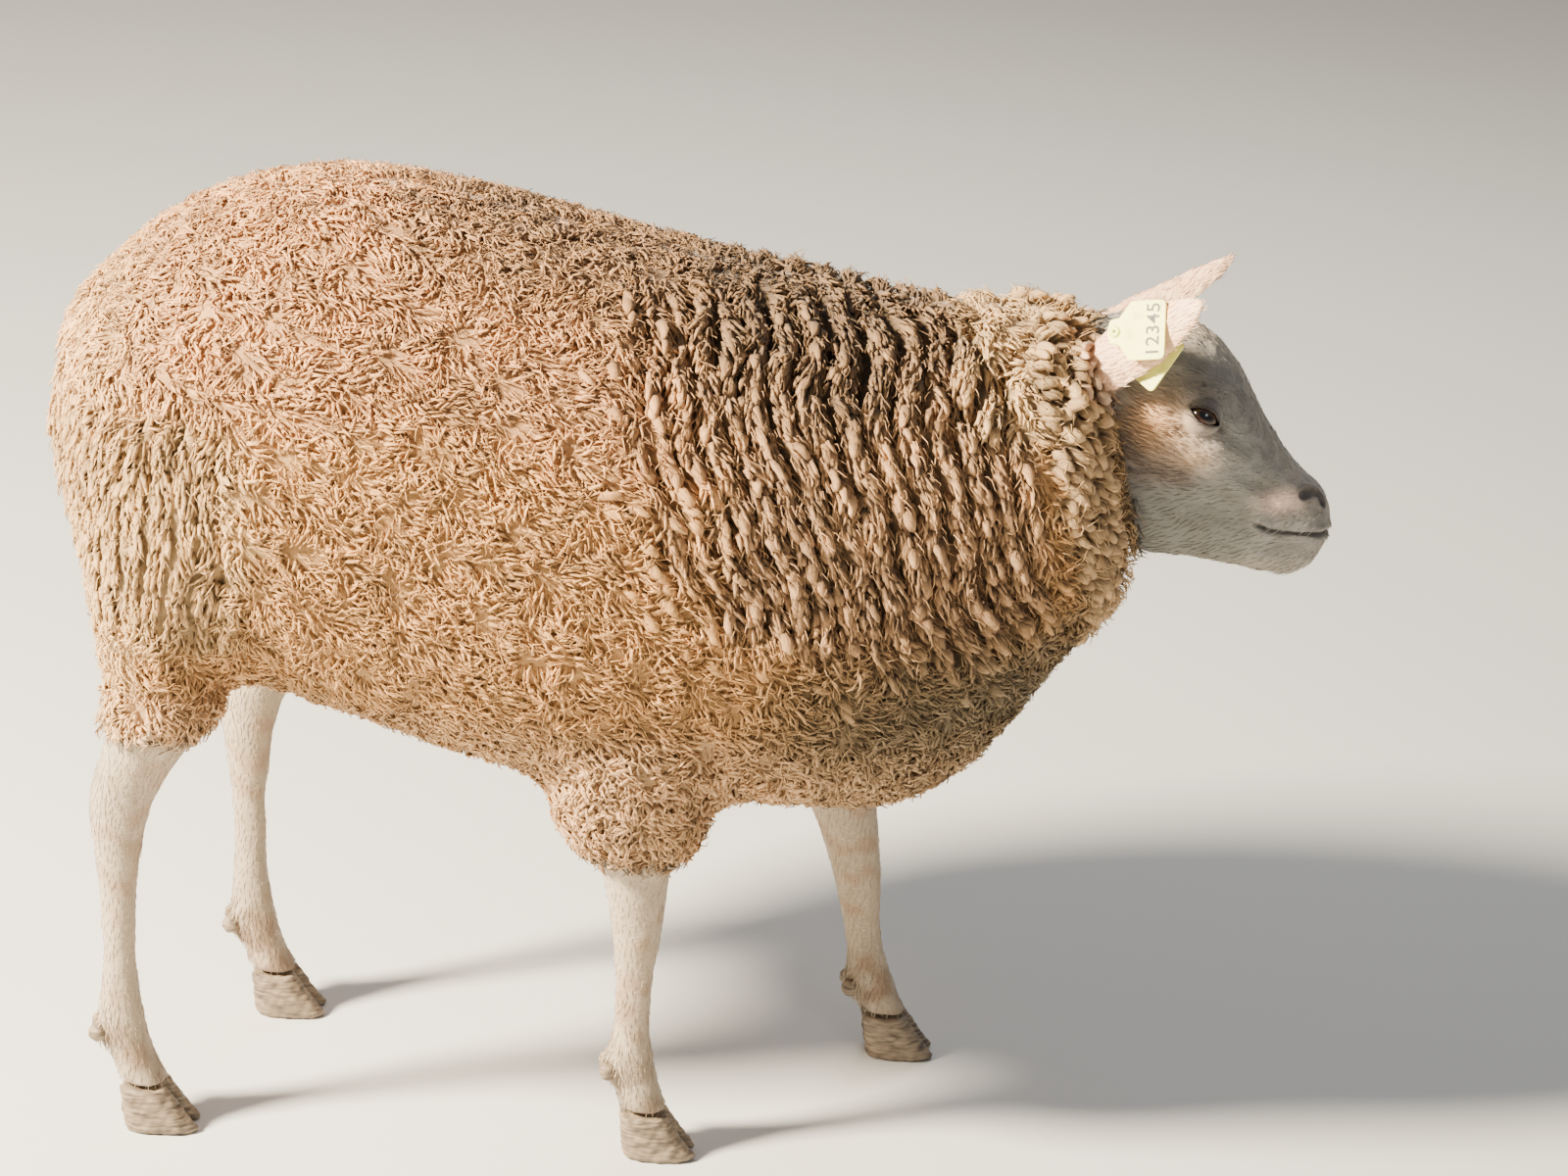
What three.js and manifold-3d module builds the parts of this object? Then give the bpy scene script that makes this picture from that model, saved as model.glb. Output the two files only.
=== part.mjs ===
// A life-size model of a white-faced, fully fleeced ewe of the Texel type, standing with the head lowered
// a little and the left foreleg forward. Millimetres, +X to the nose, +Y to the animal's left, +Z up, soles
// at z = 0. The outline runs to the tips of the fleece. Each body part is a smooth loft, set into what
// carries it with a thin gap all round. Claws, eyes and the ear tag are pieces of their own.
import * as THREE from "three";
import { mergeVertices } from "three/addons/utils/BufferGeometryUtils.js";
import Module from "manifold-3d";

// ---- Driving dimensions --------------------------------------------------------------------------------
const CUT = 0.4; // gap between neighbouring parts
const EYE = { radius: 14, at: [303, 622], out: 52.5 }; // at is [x, z], out is measured from the middle
const SHOULDER = { top: [92, 690], bottom: [150, 300] }; // where the neck meets the trunk
const CLAW_HEIGHT = 37;
const CLAW_GAP = 5; // between the two claws of a foot
const EAR_THICKNESS = 5.5;
const TAG = { width: 45, length: 52, neck: 18, thickness: 1.5, outerTurn: -22, innerTurn: -60 };
// The pin's place is a share of the ear's length and millimetres off its middle line.
const PIN = { radius: 2.6, length: 27, boss: 5, along: 0.38, across: -11, lean: 0.1 };
const TAG_OFF = { outer: 10.25, inner: 13 }; // how far the two panels stand off the middle of the ear

// Trunk and neck: top and bottom of each section as [x, z], its half width, and how it narrows upwards.
const BODY = [
  { top: [-562, 590], bottom: [-560, 520], half: 45, narrow: 0 },
  { top: [-553, 640], bottom: [-550, 455], half: 110, narrow: 0 },
  { top: [-520, 688], bottom: [-522, 400], half: 160, narrow: 0.02 },
  { top: [-455, 734], bottom: [-462, 362], half: 192, narrow: 0.05 },
  { top: [-360, 759], bottom: [-365, 344], half: 206, narrow: 0.08 },
  { top: [-262, 751], bottom: [-265, 314], half: 214, narrow: 0.08 },
  { top: [-172, 733], bottom: [-175, 293], half: 219, narrow: 0.08 },
  { top: [-83, 716], bottom: [-85, 282], half: 212, narrow: 0.08 },
  { top: [0, 707], bottom: [5, 278], half: 199, narrow: 0.08 },
  { top: [65, 696], bottom: [85, 277], half: 180, narrow: 0.08 },
  { top: [110, 692], bottom: [140, 300], half: 161, narrow: 0.06 },
  { top: [148, 694], bottom: [184, 348], half: 144, narrow: 0.05 },
  { top: [174, 695], bottom: [220, 403], half: 128, narrow: 0.05 },
  { top: [196, 695], bottom: [256, 446], half: 110, narrow: 0.1 },
  { top: [211, 687], bottom: [272, 488], half: 88, narrow: 0.12 },
  { top: [219, 662], bottom: [265, 520], half: 62, narrow: 0.1 },
];
// Head, from inside the neck to the lips, in the same terms.
const HEAD = [
  { top: [200, 668], bottom: [232, 512], half: 50, narrow: 0.0 },
  { top: [233, 682], bottom: [258, 500], half: 57, narrow: -0.04 },
  { top: [263, 688], bottom: [279, 493], half: 60, narrow: -0.1 },
  { top: [292, 685], bottom: [299, 491], half: 61, narrow: -0.14 },
  { top: [317, 673], bottom: [319, 490], half: 59, narrow: -0.16 },
  { top: [338, 651], bottom: [339, 488], half: 53, narrow: -0.14 },
  { top: [355, 624], bottom: [358, 485], half: 46, narrow: -0.08 },
  { top: [374, 596], bottom: [376, 482], half: 40, narrow: -0.03 },
  { top: [393, 573], bottom: [392, 482], half: 36.5, narrow: 0.0 },
  { top: [408, 561], bottom: [404, 486], half: 32, narrow: 0.02 },
  { top: [418, 551], bottom: [413, 494], half: 26, narrow: 0.02 },
  { top: [423, 539], bottom: [421, 510], half: 15, narrow: 0 },
];
const TAIL = [
  { top: [-548, 668], bottom: [-500, 640], half: 48, narrow: 0 },
  { top: [-568, 630], bottom: [-520, 615], half: 50, narrow: 0 },
  { top: [-577, 580], bottom: [-530, 570], half: 46, narrow: 0 },
  { top: [-578, 530], bottom: [-530, 525], half: 40, narrow: 0 },
  { top: [-570, 480], bottom: [-532, 478], half: 30, narrow: 0 },
  { top: [-556, 448], bottom: [-535, 450], half: 15, narrow: 0 },
];

// Legs, downwards from inside the trunk: centre [x, z], how far out from the middle, fore-and-aft radius and
// sideways radius.
const FORE_RIGHT = [
  { at: [-50, 560], out: 96, fore: 85, side: 72 },
  { at: [-82, 470], out: 112, fore: 92, side: 80 },
  { at: [-102, 395], out: 118, fore: 83, side: 77 },
  { at: [-111, 340], out: 118, fore: 79, side: 73 },
  { at: [-110, 300], out: 114, fore: 71, side: 64 },
  { at: [-107, 272], out: 110, fore: 54, side: 48 },
  { at: [-103, 248], out: 107, fore: 31, side: 29 },
  { at: [-100, 215], out: 106, fore: 26, side: 24 },
  { at: [-98, 188], out: 106, fore: 22, side: 20 },
  { at: [-97, 130], out: 107, fore: 16.5, side: 15 },
  { at: [-96, 98], out: 108, fore: 18, side: 17 },
  { at: [-95, 80], out: 108, fore: 21, side: 20 },
  { at: [-88, 58], out: 109, fore: 19, side: 20 },
  { at: [-82, 36], out: 110, fore: 24, side: 25 },
];
const FORE_LEFT = [
  { at: [-5, 560], out: 96, fore: 85, side: 72 },
  { at: [8, 470], out: 108, fore: 88, side: 76 },
  { at: [22, 395], out: 106, fore: 76, side: 68 },
  { at: [38, 330], out: 100, fore: 62, side: 56 },
  { at: [54, 280], out: 95, fore: 46, side: 42 },
  { at: [66, 238], out: 92, fore: 34, side: 30 },
  { at: [77, 205], out: 91, fore: 28, side: 25 },
  { at: [87, 168], out: 90, fore: 24, side: 21 },
  { at: [97, 112], out: 90, fore: 18, side: 16 },
  { at: [103, 86], out: 90, fore: 19, side: 18 },
  { at: [108, 70], out: 90, fore: 21, side: 20 },
  { at: [116, 52], out: 91, fore: 19, side: 20 },
  { at: [123, 36], out: 92, fore: 24, side: 25 },
];
const HIND_RIGHT = [
  { at: [-400, 620], out: 92, fore: 95, side: 80 },
  { at: [-430, 540], out: 108, fore: 112, side: 88 },
  { at: [-466, 465], out: 114, fore: 72, side: 76 },
  { at: [-468, 400], out: 114, fore: 56, side: 58 },
  { at: [-470, 356], out: 113, fore: 46, side: 46 },
  { at: [-482, 322], out: 111, fore: 33, side: 31 },
  { at: [-497, 288], out: 109, fore: 30, side: 23 },
  { at: [-502, 255], out: 107, fore: 24, side: 20 },
  { at: [-500, 195], out: 106, fore: 17, side: 15 },
  { at: [-497, 130], out: 106, fore: 16, side: 15 },
  { at: [-494, 88], out: 106, fore: 21, side: 20 },
  { at: [-484, 60], out: 107, fore: 19, side: 20 },
  { at: [-474, 36], out: 108, fore: 24, side: 25 },
];
const HIND_LEFT = [
  { at: [-385, 620], out: 92, fore: 95, side: 80 },
  { at: [-400, 540], out: 108, fore: 108, side: 88 },
  { at: [-414, 465], out: 114, fore: 78, side: 76 },
  { at: [-404, 400], out: 114, fore: 62, side: 58 },
  { at: [-400, 356], out: 113, fore: 48, side: 46 },
  { at: [-404, 322], out: 111, fore: 34, side: 32 },
  { at: [-416, 288], out: 109, fore: 30, side: 24 },
  { at: [-420, 255], out: 107, fore: 24, side: 20 },
  { at: [-417, 195], out: 106, fore: 17, side: 15 },
  { at: [-413, 130], out: 106, fore: 16, side: 15 },
  { at: [-409, 88], out: 106, fore: 21, side: 20 },
  { at: [-399, 60], out: 107, fore: 19, side: 20 },
  { at: [-389, 36], out: 108, fore: 24, side: 25 },
];

// Ears: base, tip, and the way that the back of the ear faces.
const EARS = {
  ear_right: { base: [205, -50, 648], tip: [288, -105, 727], back: [-0.55, -0.65, 0.3] },
  ear_left: { base: [213, 50, 650], tip: [347, 126, 699], back: [-0.35, -0.2, 0.92] },
};
// Along an ear: share of its length, half width, and how far its rims curl forward.
const EAR_SHAPE = [
  { along: 0.0, half: 17, curl: 16 },
  { along: 0.12, half: 22, curl: 15 },
  { along: 0.3, half: 26, curl: 9.5 },
  { along: 0.5, half: 25, curl: 7 },
  { along: 0.7, half: 20, curl: 5.5 },
  { along: 0.87, half: 12.5, curl: 3.5 },
  { along: 0.97, half: 5.5, curl: 1.5 },
  { along: 1.0, half: 1.5, curl: 0.3 },
];

// ---- Shapes --------------------------------------------------------------------------------------------
const wasm = await Module();
wasm.setup();

// Catmull-Rom through the rows of a table of equal-length number lists.
function follow(rows, t) {
  const last = rows.length - 1;
  const i = Math.min(Math.floor(t * last), last - 1);
  const f = t * last - i;
  const row = (k) => rows[Math.max(0, Math.min(last, k))];
  return rows[0].map((_, c) => {
    const [p0, p1, p2, p3] = [row(i - 1)[c], row(i)[c], row(i + 1)[c], row(i + 2)[c]];
    const m1 = (p2 - p0) / 2;
    const m2 = (p3 - p1) / 2;
    return (
      (2 * f ** 3 - 3 * f ** 2 + 1) * p1 +
      (f ** 3 - 2 * f ** 2 + f) * m1 +
      (3 * f ** 2 - 2 * f ** 3) * p2 +
      (f ** 3 - f ** 2) * m2
    );
  });
}

// A closed cylinder whose vertices are moved by place(t along, cosine, sine, share of the radius).
function swept(sides, rings, place) {
  const g = new THREE.CylinderGeometry(1, 1, 1, sides, rings);
  g.deleteAttribute("normal");
  g.deleteAttribute("uv");
  const merged = mergeVertices(g, 1e-5);
  const p = merged.attributes.position;
  for (let i = 0; i < p.count; i++) {
    const [x, y, z] = [p.getX(i), p.getY(i), p.getZ(i)];
    const r = Math.hypot(x, z);
    const [c, s] = r > 1e-6 ? [x / r, z / r] : [1, 0];
    p.setXYZ(i, ...place(Math.min(1, Math.max(0, y + 0.5)), c, s, r));
  }
  return merged;
}

function solid(geometry) {
  const g = geometry.index ? geometry.clone() : mergeVertices(geometry.clone(), 1e-4);
  g.deleteAttribute("normal");
  g.deleteAttribute("uv");
  const m = mergeVertices(g, 1e-4);
  const vertProperties = new Float32Array(m.attributes.position.array);
  const make = (triVerts) => new wasm.Manifold(new wasm.Mesh({ numProp: 3, vertProperties, triVerts }));
  const tris = new Uint32Array(m.index.array);
  const made = make(tris);
  if (made.volume() > 0) return made;
  for (let i = 0; i < tris.length; i += 3) [tris[i + 1], tris[i + 2]] = [tris[i + 2], tris[i + 1]];
  return make(tris);
}

function geometryOf(manifold) {
  const mesh = manifold.getMesh();
  const positions = new Float32Array(mesh.numVert * 3);
  for (let i = 0; i < mesh.numVert; i++)
    positions.set(mesh.vertProperties.subarray(i * mesh.numProp, i * mesh.numProp + 3), i * 3);
  return new THREE.BufferGeometry()
    .setAttribute("position", new THREE.BufferAttribute(positions, 3))
    .setIndex(new THREE.BufferAttribute(mesh.triVerts, 1));
}

const rounded = (v, power) => Math.sign(v) * Math.abs(v) ** (2 / power);

// A loft whose sections stand across the animal's middle plane, each from a bottom point to a top point.
function sagittal(stations, sides, rings, grow = 0, power = 2.25) {
  const rows = stations.map((s) => [...s.top, ...s.bottom, s.half, s.narrow]);
  const middle = (row) => new THREE.Vector2(row[0] + row[2], row[1] + row[3]).divideScalar(2);
  const ahead = middle(rows.at(-1)).sub(middle(rows[0])).normalize();
  return solid(
    swept(sides, rings, (t, c, s, r) => {
      const [tx, tz, bx, bz, half, narrow] = follow(rows, t);
      const reach = Math.hypot(tx - bx, tz - bz) / 2;
      const up = (rounded(s, power) * r * (reach + grow)) / reach;
      const wide = rounded(c, power) * r * (half + grow) * (1 - narrow * s);
      const x = (tx + bx) / 2 + ((tx - bx) / 2) * up + (2 * t - 1) * grow * ahead.x;
      const z = (tz + bz) / 2 + ((tz - bz) / 2) * up + (2 * t - 1) * grow * ahead.y;
      return [x, wide, z];
    }),
  );
}

// A limb of level oval sections. side is -1 on the right of the animal and 1 on the left.
function limb(stations, side, sides, rings, grow = 0) {
  const rows = stations.map((s) => [...s.at, s.out, s.fore, s.side]);
  return solid(
    swept(sides, rings, (t, c, s, r) => {
      const [x, z, out, fore, across] = follow(rows, t);
      return [x + c * r * (fore + grow), side * out + s * r * (across + grow), z + (0.5 - t) * 2 * grow];
    }),
  );
}

function earAxes({ base, tip, back }) {
  const from = new THREE.Vector3(...base);
  const length = from.distanceTo(new THREE.Vector3(...tip));
  const along = new THREE.Vector3(...tip).sub(from).normalize();
  const behind = new THREE.Vector3(...back);
  behind.addScaledVector(along, -behind.dot(along)).normalize();
  const across = new THREE.Vector3().crossVectors(along, behind);
  return { from, along, behind, across, length };
}

function ear(spec, grow = 0) {
  const { from, along, behind, across, length } = earAxes(spec);
  const rows = EAR_SHAPE.map((s) => [s.along, s.half, s.curl]);
  return solid(
    swept(14, 9, (t, c, s, r) => {
      const [share, half, curl] = follow(rows, t);
      const thick = (EAR_THICKNESS / 2 + 2 * grow) * Math.min(1, half / 8 + 0.15);
      const wide = c * r * (half + 2 * grow);
      const arch = 8 * share * share - 4 * share; // the blade arches back a little towards its tip
      return from
        .clone()
        .addScaledVector(along, share * length + (2 * t - 1) * 2 * grow)
        .addScaledVector(across, wide)
        .addScaledVector(behind, arch + s * r * thick - curl * (wide / half) ** 2)
        .toArray();
    }),
  );
}

// A claw under a leg's foot: a flat sole, a toe that runs forward and an upright inner wall.
function claw([x, , y], side, sign) {
  const heights = [
    [0, 15, 29, 11.2],
    [3, 14.5, 30, 12],
    [14, 9, 26, 12],
    [27, 4, 22, 11.4],
    [CLAW_HEIGHT - CUT, 0, 19, 10.5],
  ];
  return solid(
    swept(12, 4, (t, c, s, r) => {
      const [z, ahead, fore, across] = follow(heights, t);
      const toe = c > 0 ? 1.12 : 0.85;
      const wall = s * sign < 0 ? 0.55 : 1.15; // the inner wall is flatter than the outer one
      const middle = y * side + sign * (CLAW_GAP / 2 + across * 0.62);
      const px = x + ahead - 4 + rounded(c, 2.3) * r * fore * toe;
      return [px, middle + rounded(s, 2.3) * r * across * wall, z];
    }),
  );
}

function dewclaw([x, z, y], side, sign, grow = 0) {
  const g = new THREE.SphereGeometry(1, 7, 5);
  g.scale(8 + grow, 6.5 + grow, 9 + grow);
  g.rotateY(-0.5);
  g.translate(x, y * side + sign * 11, z);
  return solid(g);
}

// ---- The animal ----------------------------------------------------------------------------------------
const LEGS = {
  leg_front_right: { stations: FORE_RIGHT, side: -1 },
  leg_front_left: { stations: FORE_LEFT, side: 1 },
  leg_hind_right: { stations: HIND_RIGHT, side: -1 },
  leg_hind_left: { stations: HIND_LEFT, side: 1 },
};
const nodes = {};
const largest = (m) => m.decompose().reduce((a, b) => (b.volume() > a.volume() ? b : a));

// The face comes out of the front of the woolly neck; legs, tail and ears are set into what carries them.
const body = (grow) => sagittal(BODY, 28, 27, grow);
nodes.head = largest(sagittal(HEAD, 24, 20, 0, 2.15).subtract(body(CUT)));
nodes.tail = sagittal(TAIL, 12, 8);
let carried = sagittal(TAIL, 12, 8, CUT);
for (const [name, leg] of Object.entries(LEGS)) {
  nodes[name] = limb(leg.stations, leg.side, 12, 15);
  carried = carried.add(limb(leg.stations, leg.side, 12, 15, CUT));
}
for (const [name, spec] of Object.entries(EARS)) {
  nodes[name] = ear(spec);
  carried = carried.add(ear(spec, CUT));
}
nodes.head = nodes.head.subtract(carried);
const fleeced = body(0).subtract(carried);

// A thin slanting cut parts the neck from the trunk where it meets the shoulders.
function aheadOf([topX, topZ], [bottomX, bottomZ], gap) {
  const box = new THREE.BoxGeometry(1200, 1200, 2400);
  box.translate(600 + gap, 0, 0);
  box.rotateY(Math.atan2(topX - bottomX, topZ - bottomZ));
  box.translate(topX, 0, topZ);
  return solid(box);
}
nodes.neck = fleeced.intersect(aheadOf(SHOULDER.top, SHOULDER.bottom, CUT / 2));
nodes.trunk = fleeced.subtract(aheadOf(SHOULDER.top, SHOULDER.bottom, -CUT / 2));

// Eyes: balls set in the sides of the head.
for (const [name, side] of [["eye_right", -1], ["eye_left", 1]]) {
  const ball = (grow) => {
    const g = new THREE.SphereGeometry(EYE.radius + grow, 14, 8);
    g.translate(EYE.at[0], side * EYE.out, EYE.at[1]);
    return solid(g);
  };
  nodes[name] = ball(0);
  nodes.head = nodes.head.subtract(ball(CUT));
}

// Feet: two claws and two dewclaws on each leg.
for (const [name, leg] of Object.entries(LEGS)) {
  const last = leg.stations.at(-1);
  const fetlock = leg.stations.at(-3);
  for (const [where, sign] of [["outer", leg.side], ["inner", -leg.side]]) {
    nodes[name.replace("leg", "claw") + "_" + where] = claw([last.at[0], 0, last.out], leg.side, sign);
    const spur = [fetlock.at[0] - fetlock.fore + 3, fetlock.at[1] - 8, fetlock.out];
    nodes[name.replace("leg", "dewclaw") + "_" + where] = dewclaw(spur, leg.side, sign);
    nodes[name] = nodes[name].subtract(dewclaw(spur, leg.side, sign, CUT));
  }
  const floor = new THREE.BoxGeometry(400, 400, 100);
  floor.translate(last.at[0], leg.side * last.out, CLAW_HEIGHT - 50);
  nodes[name] = largest(nodes[name].subtract(solid(floor)));
}

// Ear tag: a panel with a pin outside the ear, and a panel with a socket inside it.
function tagPanel() {
  const [w, l, n, c] = [TAG.width / 2, TAG.length, TAG.neck / 2, 5];
  const outline = new THREE.Shape();
  outline.moveTo(-n, -4);
  outline.quadraticCurveTo(0, -9, n, -4);
  outline.lineTo(n + 1, 3);
  outline.lineTo(w, 13);
  outline.lineTo(w, l - 9 - c);
  outline.quadraticCurveTo(w, l - 9, w - c, l - 9);
  outline.lineTo(c - w, l - 9);
  outline.quadraticCurveTo(-w, l - 9, -w, l - 9 - c);
  outline.lineTo(-w, 13);
  outline.lineTo(-n - 1, 3);
  outline.closePath();
  return new THREE.ExtrudeGeometry(outline, { depth: TAG.thickness, bevelEnabled: false, curveSegments: 6 });
}
function pin(radius, from, to) {
  const g = new THREE.CylinderGeometry(radius, radius, to - from, 16);
  g.rotateX(Math.PI / 2);
  g.translate(0, 0, (from + to) / 2);
  return solid(g);
}
const tagEar = earAxes(EARS.ear_right);
const pinPlace = tagEar.from
  .clone()
  .addScaledVector(tagEar.along, PIN.along * tagEar.length)
  .addScaledVector(tagEar.across, PIN.across)
  .addScaledVector(tagEar.behind, 8 * PIN.along ** 2 - 4 * PIN.along - 1.5);
const out = tagEar.behind.clone().addScaledVector(tagEar.along, PIN.lean).normalize();
// Local x and y lie in the panel, y away from the pin, and z runs along the pin, out of the ear's back.
function onEar(manifold, turn) {
  const y = new THREE.Vector3().crossVectors(out, tagEar.across);
  y.applyAxisAngle(out, THREE.MathUtils.degToRad(turn));
  const x = new THREE.Vector3().crossVectors(y, out);
  return manifold.transform(new THREE.Matrix4().makeBasis(x, y, out).setPosition(pinPlace).toArray());
}
const outerPanel = solid(tagPanel()).translate([0, 0, TAG_OFF.outer]);
const innerPanel = solid(tagPanel()).translate([0, 0, -TAG_OFF.inner]);
const outerPin = pin(PIN.radius, TAG_OFF.outer + TAG.thickness - PIN.length, TAG_OFF.outer + 0.5);
const innerBoss = pin(PIN.boss, -TAG_OFF.inner - 5, -TAG_OFF.inner + 2);
const innerSocket = pin(PIN.radius + CUT, -TAG_OFF.inner - 2.8, -TAG_OFF.inner + 9);
nodes.tag_outer = onEar(outerPanel.add(outerPin), TAG.outerTurn);
nodes.tag_inner = onEar(innerPanel.add(innerBoss).subtract(innerSocket), TAG.innerTurn);
nodes.ear_right = nodes.ear_right.subtract(onEar(pin(PIN.radius + CUT, -15, 15), 0));

// ---- Materials and scene -------------------------------------------------------------------------------
const finish = (color, roughness) => new THREE.MeshStandardMaterial({ color, roughness, metalness: 0 });
const FLEECE = finish(0xc2a27c, 0.95);
const FACE = finish(0xd9cdbf, 0.8);
const HORN = finish(0x6f6254, 0.55);
const EYE_DARK = finish(0x2a1d14, 0.1);
const TAG_YELLOW = finish(0xf2e86b, 0.45);
const finishOf = (name) => {
  if (name.startsWith("tag")) return TAG_YELLOW;
  if (name.startsWith("eye")) return EYE_DARK;
  if (name.includes("claw")) return HORN;
  return /^(head|ear)/.test(name) ? FACE : FLEECE;
};

const sheep = new THREE.Group();
for (const [name, manifold] of Object.entries(nodes)) {
  const mesh = new THREE.Mesh(geometryOf(largest(manifold)), finishOf(name));
  mesh.name = name;
  sheep.add(mesh);
}
// The origin is the middle of the animal's bounding box, on the floor.
const bounds = new THREE.Box3().setFromObject(sheep);
const middle = bounds.getCenter(new THREE.Vector3());
sheep.position.set(-middle.x, -middle.y, 0);

export default sheep;
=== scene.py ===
import bpy
import bmesh
import math
import numpy as np
from mathutils import Matrix, Vector
from mathutils.kdtree import KDTree


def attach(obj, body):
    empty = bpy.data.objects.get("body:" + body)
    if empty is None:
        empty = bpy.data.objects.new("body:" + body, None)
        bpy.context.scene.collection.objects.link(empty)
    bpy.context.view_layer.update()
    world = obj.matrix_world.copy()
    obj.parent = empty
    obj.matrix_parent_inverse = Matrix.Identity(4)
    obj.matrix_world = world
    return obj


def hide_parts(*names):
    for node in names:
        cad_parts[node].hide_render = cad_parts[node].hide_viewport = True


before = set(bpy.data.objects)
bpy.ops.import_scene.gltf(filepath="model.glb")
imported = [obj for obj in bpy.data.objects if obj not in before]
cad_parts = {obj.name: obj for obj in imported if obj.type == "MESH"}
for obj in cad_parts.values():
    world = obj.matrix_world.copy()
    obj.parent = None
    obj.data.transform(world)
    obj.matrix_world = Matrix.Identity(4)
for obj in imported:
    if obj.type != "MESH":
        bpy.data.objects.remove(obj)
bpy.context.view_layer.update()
scene = bpy.context.scene


# ---- Camera, floor and light -----------------------------------------------------------------------------
# The camera looks down a little at the animal's right side, rolled so that its front stands lower in view.
# The floor is plain and pale, and a large soft lamp stands high behind the rump like a low sun.
def piece(name, data):
    """A new object in the scene, at the origin."""
    obj = bpy.data.objects.new(name, data)
    scene.collection.objects.link(obj)
    return obj


def formed(name, shape):
    """A new object made from a bmesh, which is then let go."""
    obj = piece(name, bpy.data.meshes.new(name))
    shape.to_mesh(obj.data)
    shape.free()
    return obj


def wire(tree, node, inputs=(), **settings):
    """Sets a shader node's own settings, then its sockets, each to a value or to a link from another socket.
    A node given by its kind is made first."""
    if isinstance(node, str):
        node = tree.nodes.new("ShaderNode" + node)
    for key, value in settings.items():
        setattr(node, key, value)
    for key, value in dict(inputs).items():
        if isinstance(value, bpy.types.NodeSocket):
            tree.links.new(value, node.inputs[key])
        else:
            node.inputs[key].default_value = value
    return node


def blank(name):
    """A new material, with its node tree and its shader."""
    material = bpy.data.materials.new(name)
    material.use_nodes = True
    return material, material.node_tree, material.node_tree.nodes["Principled BSDF"]


elevation, azimuth, roll = math.radians(20), math.radians(-4), math.radians(5)
CAMERA_DISTANCE = 3.2
CAMERA_AIM = Vector((0.0785, 0, 0.442))
FLOOR_HALF = 6
FLOOR_GAP = 0.0004
back = Vector(
    (math.sin(azimuth) * math.cos(elevation), -math.cos(azimuth) * math.cos(elevation), math.sin(elevation))
)
level = (-back).cross(Vector((0, 0, 1))).normalized()
upright = level.cross(-back)
right = level * math.cos(roll) + upright * math.sin(roll)
above = upright * math.cos(roll) - level * math.sin(roll)
camera = piece("camera", bpy.data.cameras.new("camera"))
camera.data.lens = 93.6
camera.data.sensor_width = 36
camera.data.clip_end = 30
turned = Matrix((right, above, back)).transposed().to_4x4()
camera.matrix_world = Matrix.Translation(CAMERA_AIM + back * CAMERA_DISTANCE) @ turned
scene.camera = camera

shape = bmesh.new()
bmesh.ops.create_grid(shape, x_segments=2, y_segments=2, size=FLOOR_HALF)
floor = formed("floor", shape)
floor.location.z = -FLOOR_GAP
pale, tree, shader = blank("floor")
wire(tree, shader, {"Base Color": (0.62, 0.62, 0.6, 1), "Roughness": 0.9})
floor.data.materials.append(pale)

middle = Vector((0, 0, 0.45))
for name, place, width, watts, colour in (
    ("key", (-2.75, -1.1, 1.9), 0.6, 1080, (1.0, 0.86, 0.65)),
    ("fill", (1.6, -3.2, 1.6), 0.9, 14, (0.92, 0.96, 1.0)),
    ("rim", (0.6, 2.8, 2.4), 1.6, 55, (1.0, 0.98, 0.95)),
):
    lamp = piece(name, bpy.data.lights.new(name, "AREA"))
    lamp.data.shape = "DISK"
    lamp.data.size = width
    lamp.data.energy = watts
    lamp.data.color = colour
    place = middle + Vector(place)
    lamp.matrix_world = Matrix.Translation(place) @ (middle - place).to_track_quat("-Z", "Y").to_matrix().to_4x4()
world = bpy.data.worlds.new("studio")
world.use_nodes = True
sky = world.node_tree.nodes["Background"]
wire(world.node_tree, sky, {"Color": (0.93, 0.95, 1.0, 1), "Strength": 0.29})
scene.world = world


# ---- Skin ------------------------------------------------------------------------------------------------
# One skin over the whole animal: thick and hidden under the fleece, thin and short-haired on the face, ears
# and shanks. It is raised from the solids, sunk by the depth of the coat, and modelled like clay.
FLEECE_DEPTH = 0.009
FURROW_DEPTH = 0.021
HAIR_DEPTH = 0.0015
EAR_DEPTH = 0.0002
WOOL_LINE = {"leg_front_right": 0.262, "leg_front_left": 0.275, "leg_hind_right": 0.345, "leg_hind_left": 0.345}
EAR_LINE = {
    -1: [(0.2835, 0.050, 0.648), (0.3665, 0.105, 0.727)],
    1: [(0.2915, 0.050, 0.650), (0.4255, 0.126, 0.699)],
}
NOSTRIL = [(0.4900, 0, 0.5490), (0.4870, 0, 0.5550), (0.4800, 0, 0.5580), (0.4730, 0, 0.5560)]
MOUTH = [(0.4350, 0.5340), (0.4480, 0.5285), (0.4640, 0.5265), (0.4810, 0.5255), (0.5020, 0.5235)]
MOUTH_CORNER = 0.43
EYE = {"centre": (0.3815, 0.0525, 0.622), "radius": 0.014, "looks": (0.08, 0.95, 0.25), "slit": (0.885, 0, -0.466)}
LID_HALF, LID_TOP, LID_BOTTOM = 0.0130, 0.0058, -0.0056
LID_DOME, EYE_HOLLOW, LID_BLEND = 0.0160, 0.0100, 0.0022
TORSO_GRAIN, CORE_GRAIN, SHANK_GRAIN, HEAD_GRAIN, EAR_GRAIN = 0.0058, 0.006, 0.0048, 0.0024, 0.0015
TORSO_KEPT = 0.38


def ramp(value, start, end):
    t = np.clip((value - start) / (end - start), 0, 1)
    return t * t * (3 - 2 * t)


def mirrored(points):
    return np.column_stack((points[:, 0], np.abs(points[:, 1]), points[:, 2]))


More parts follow.
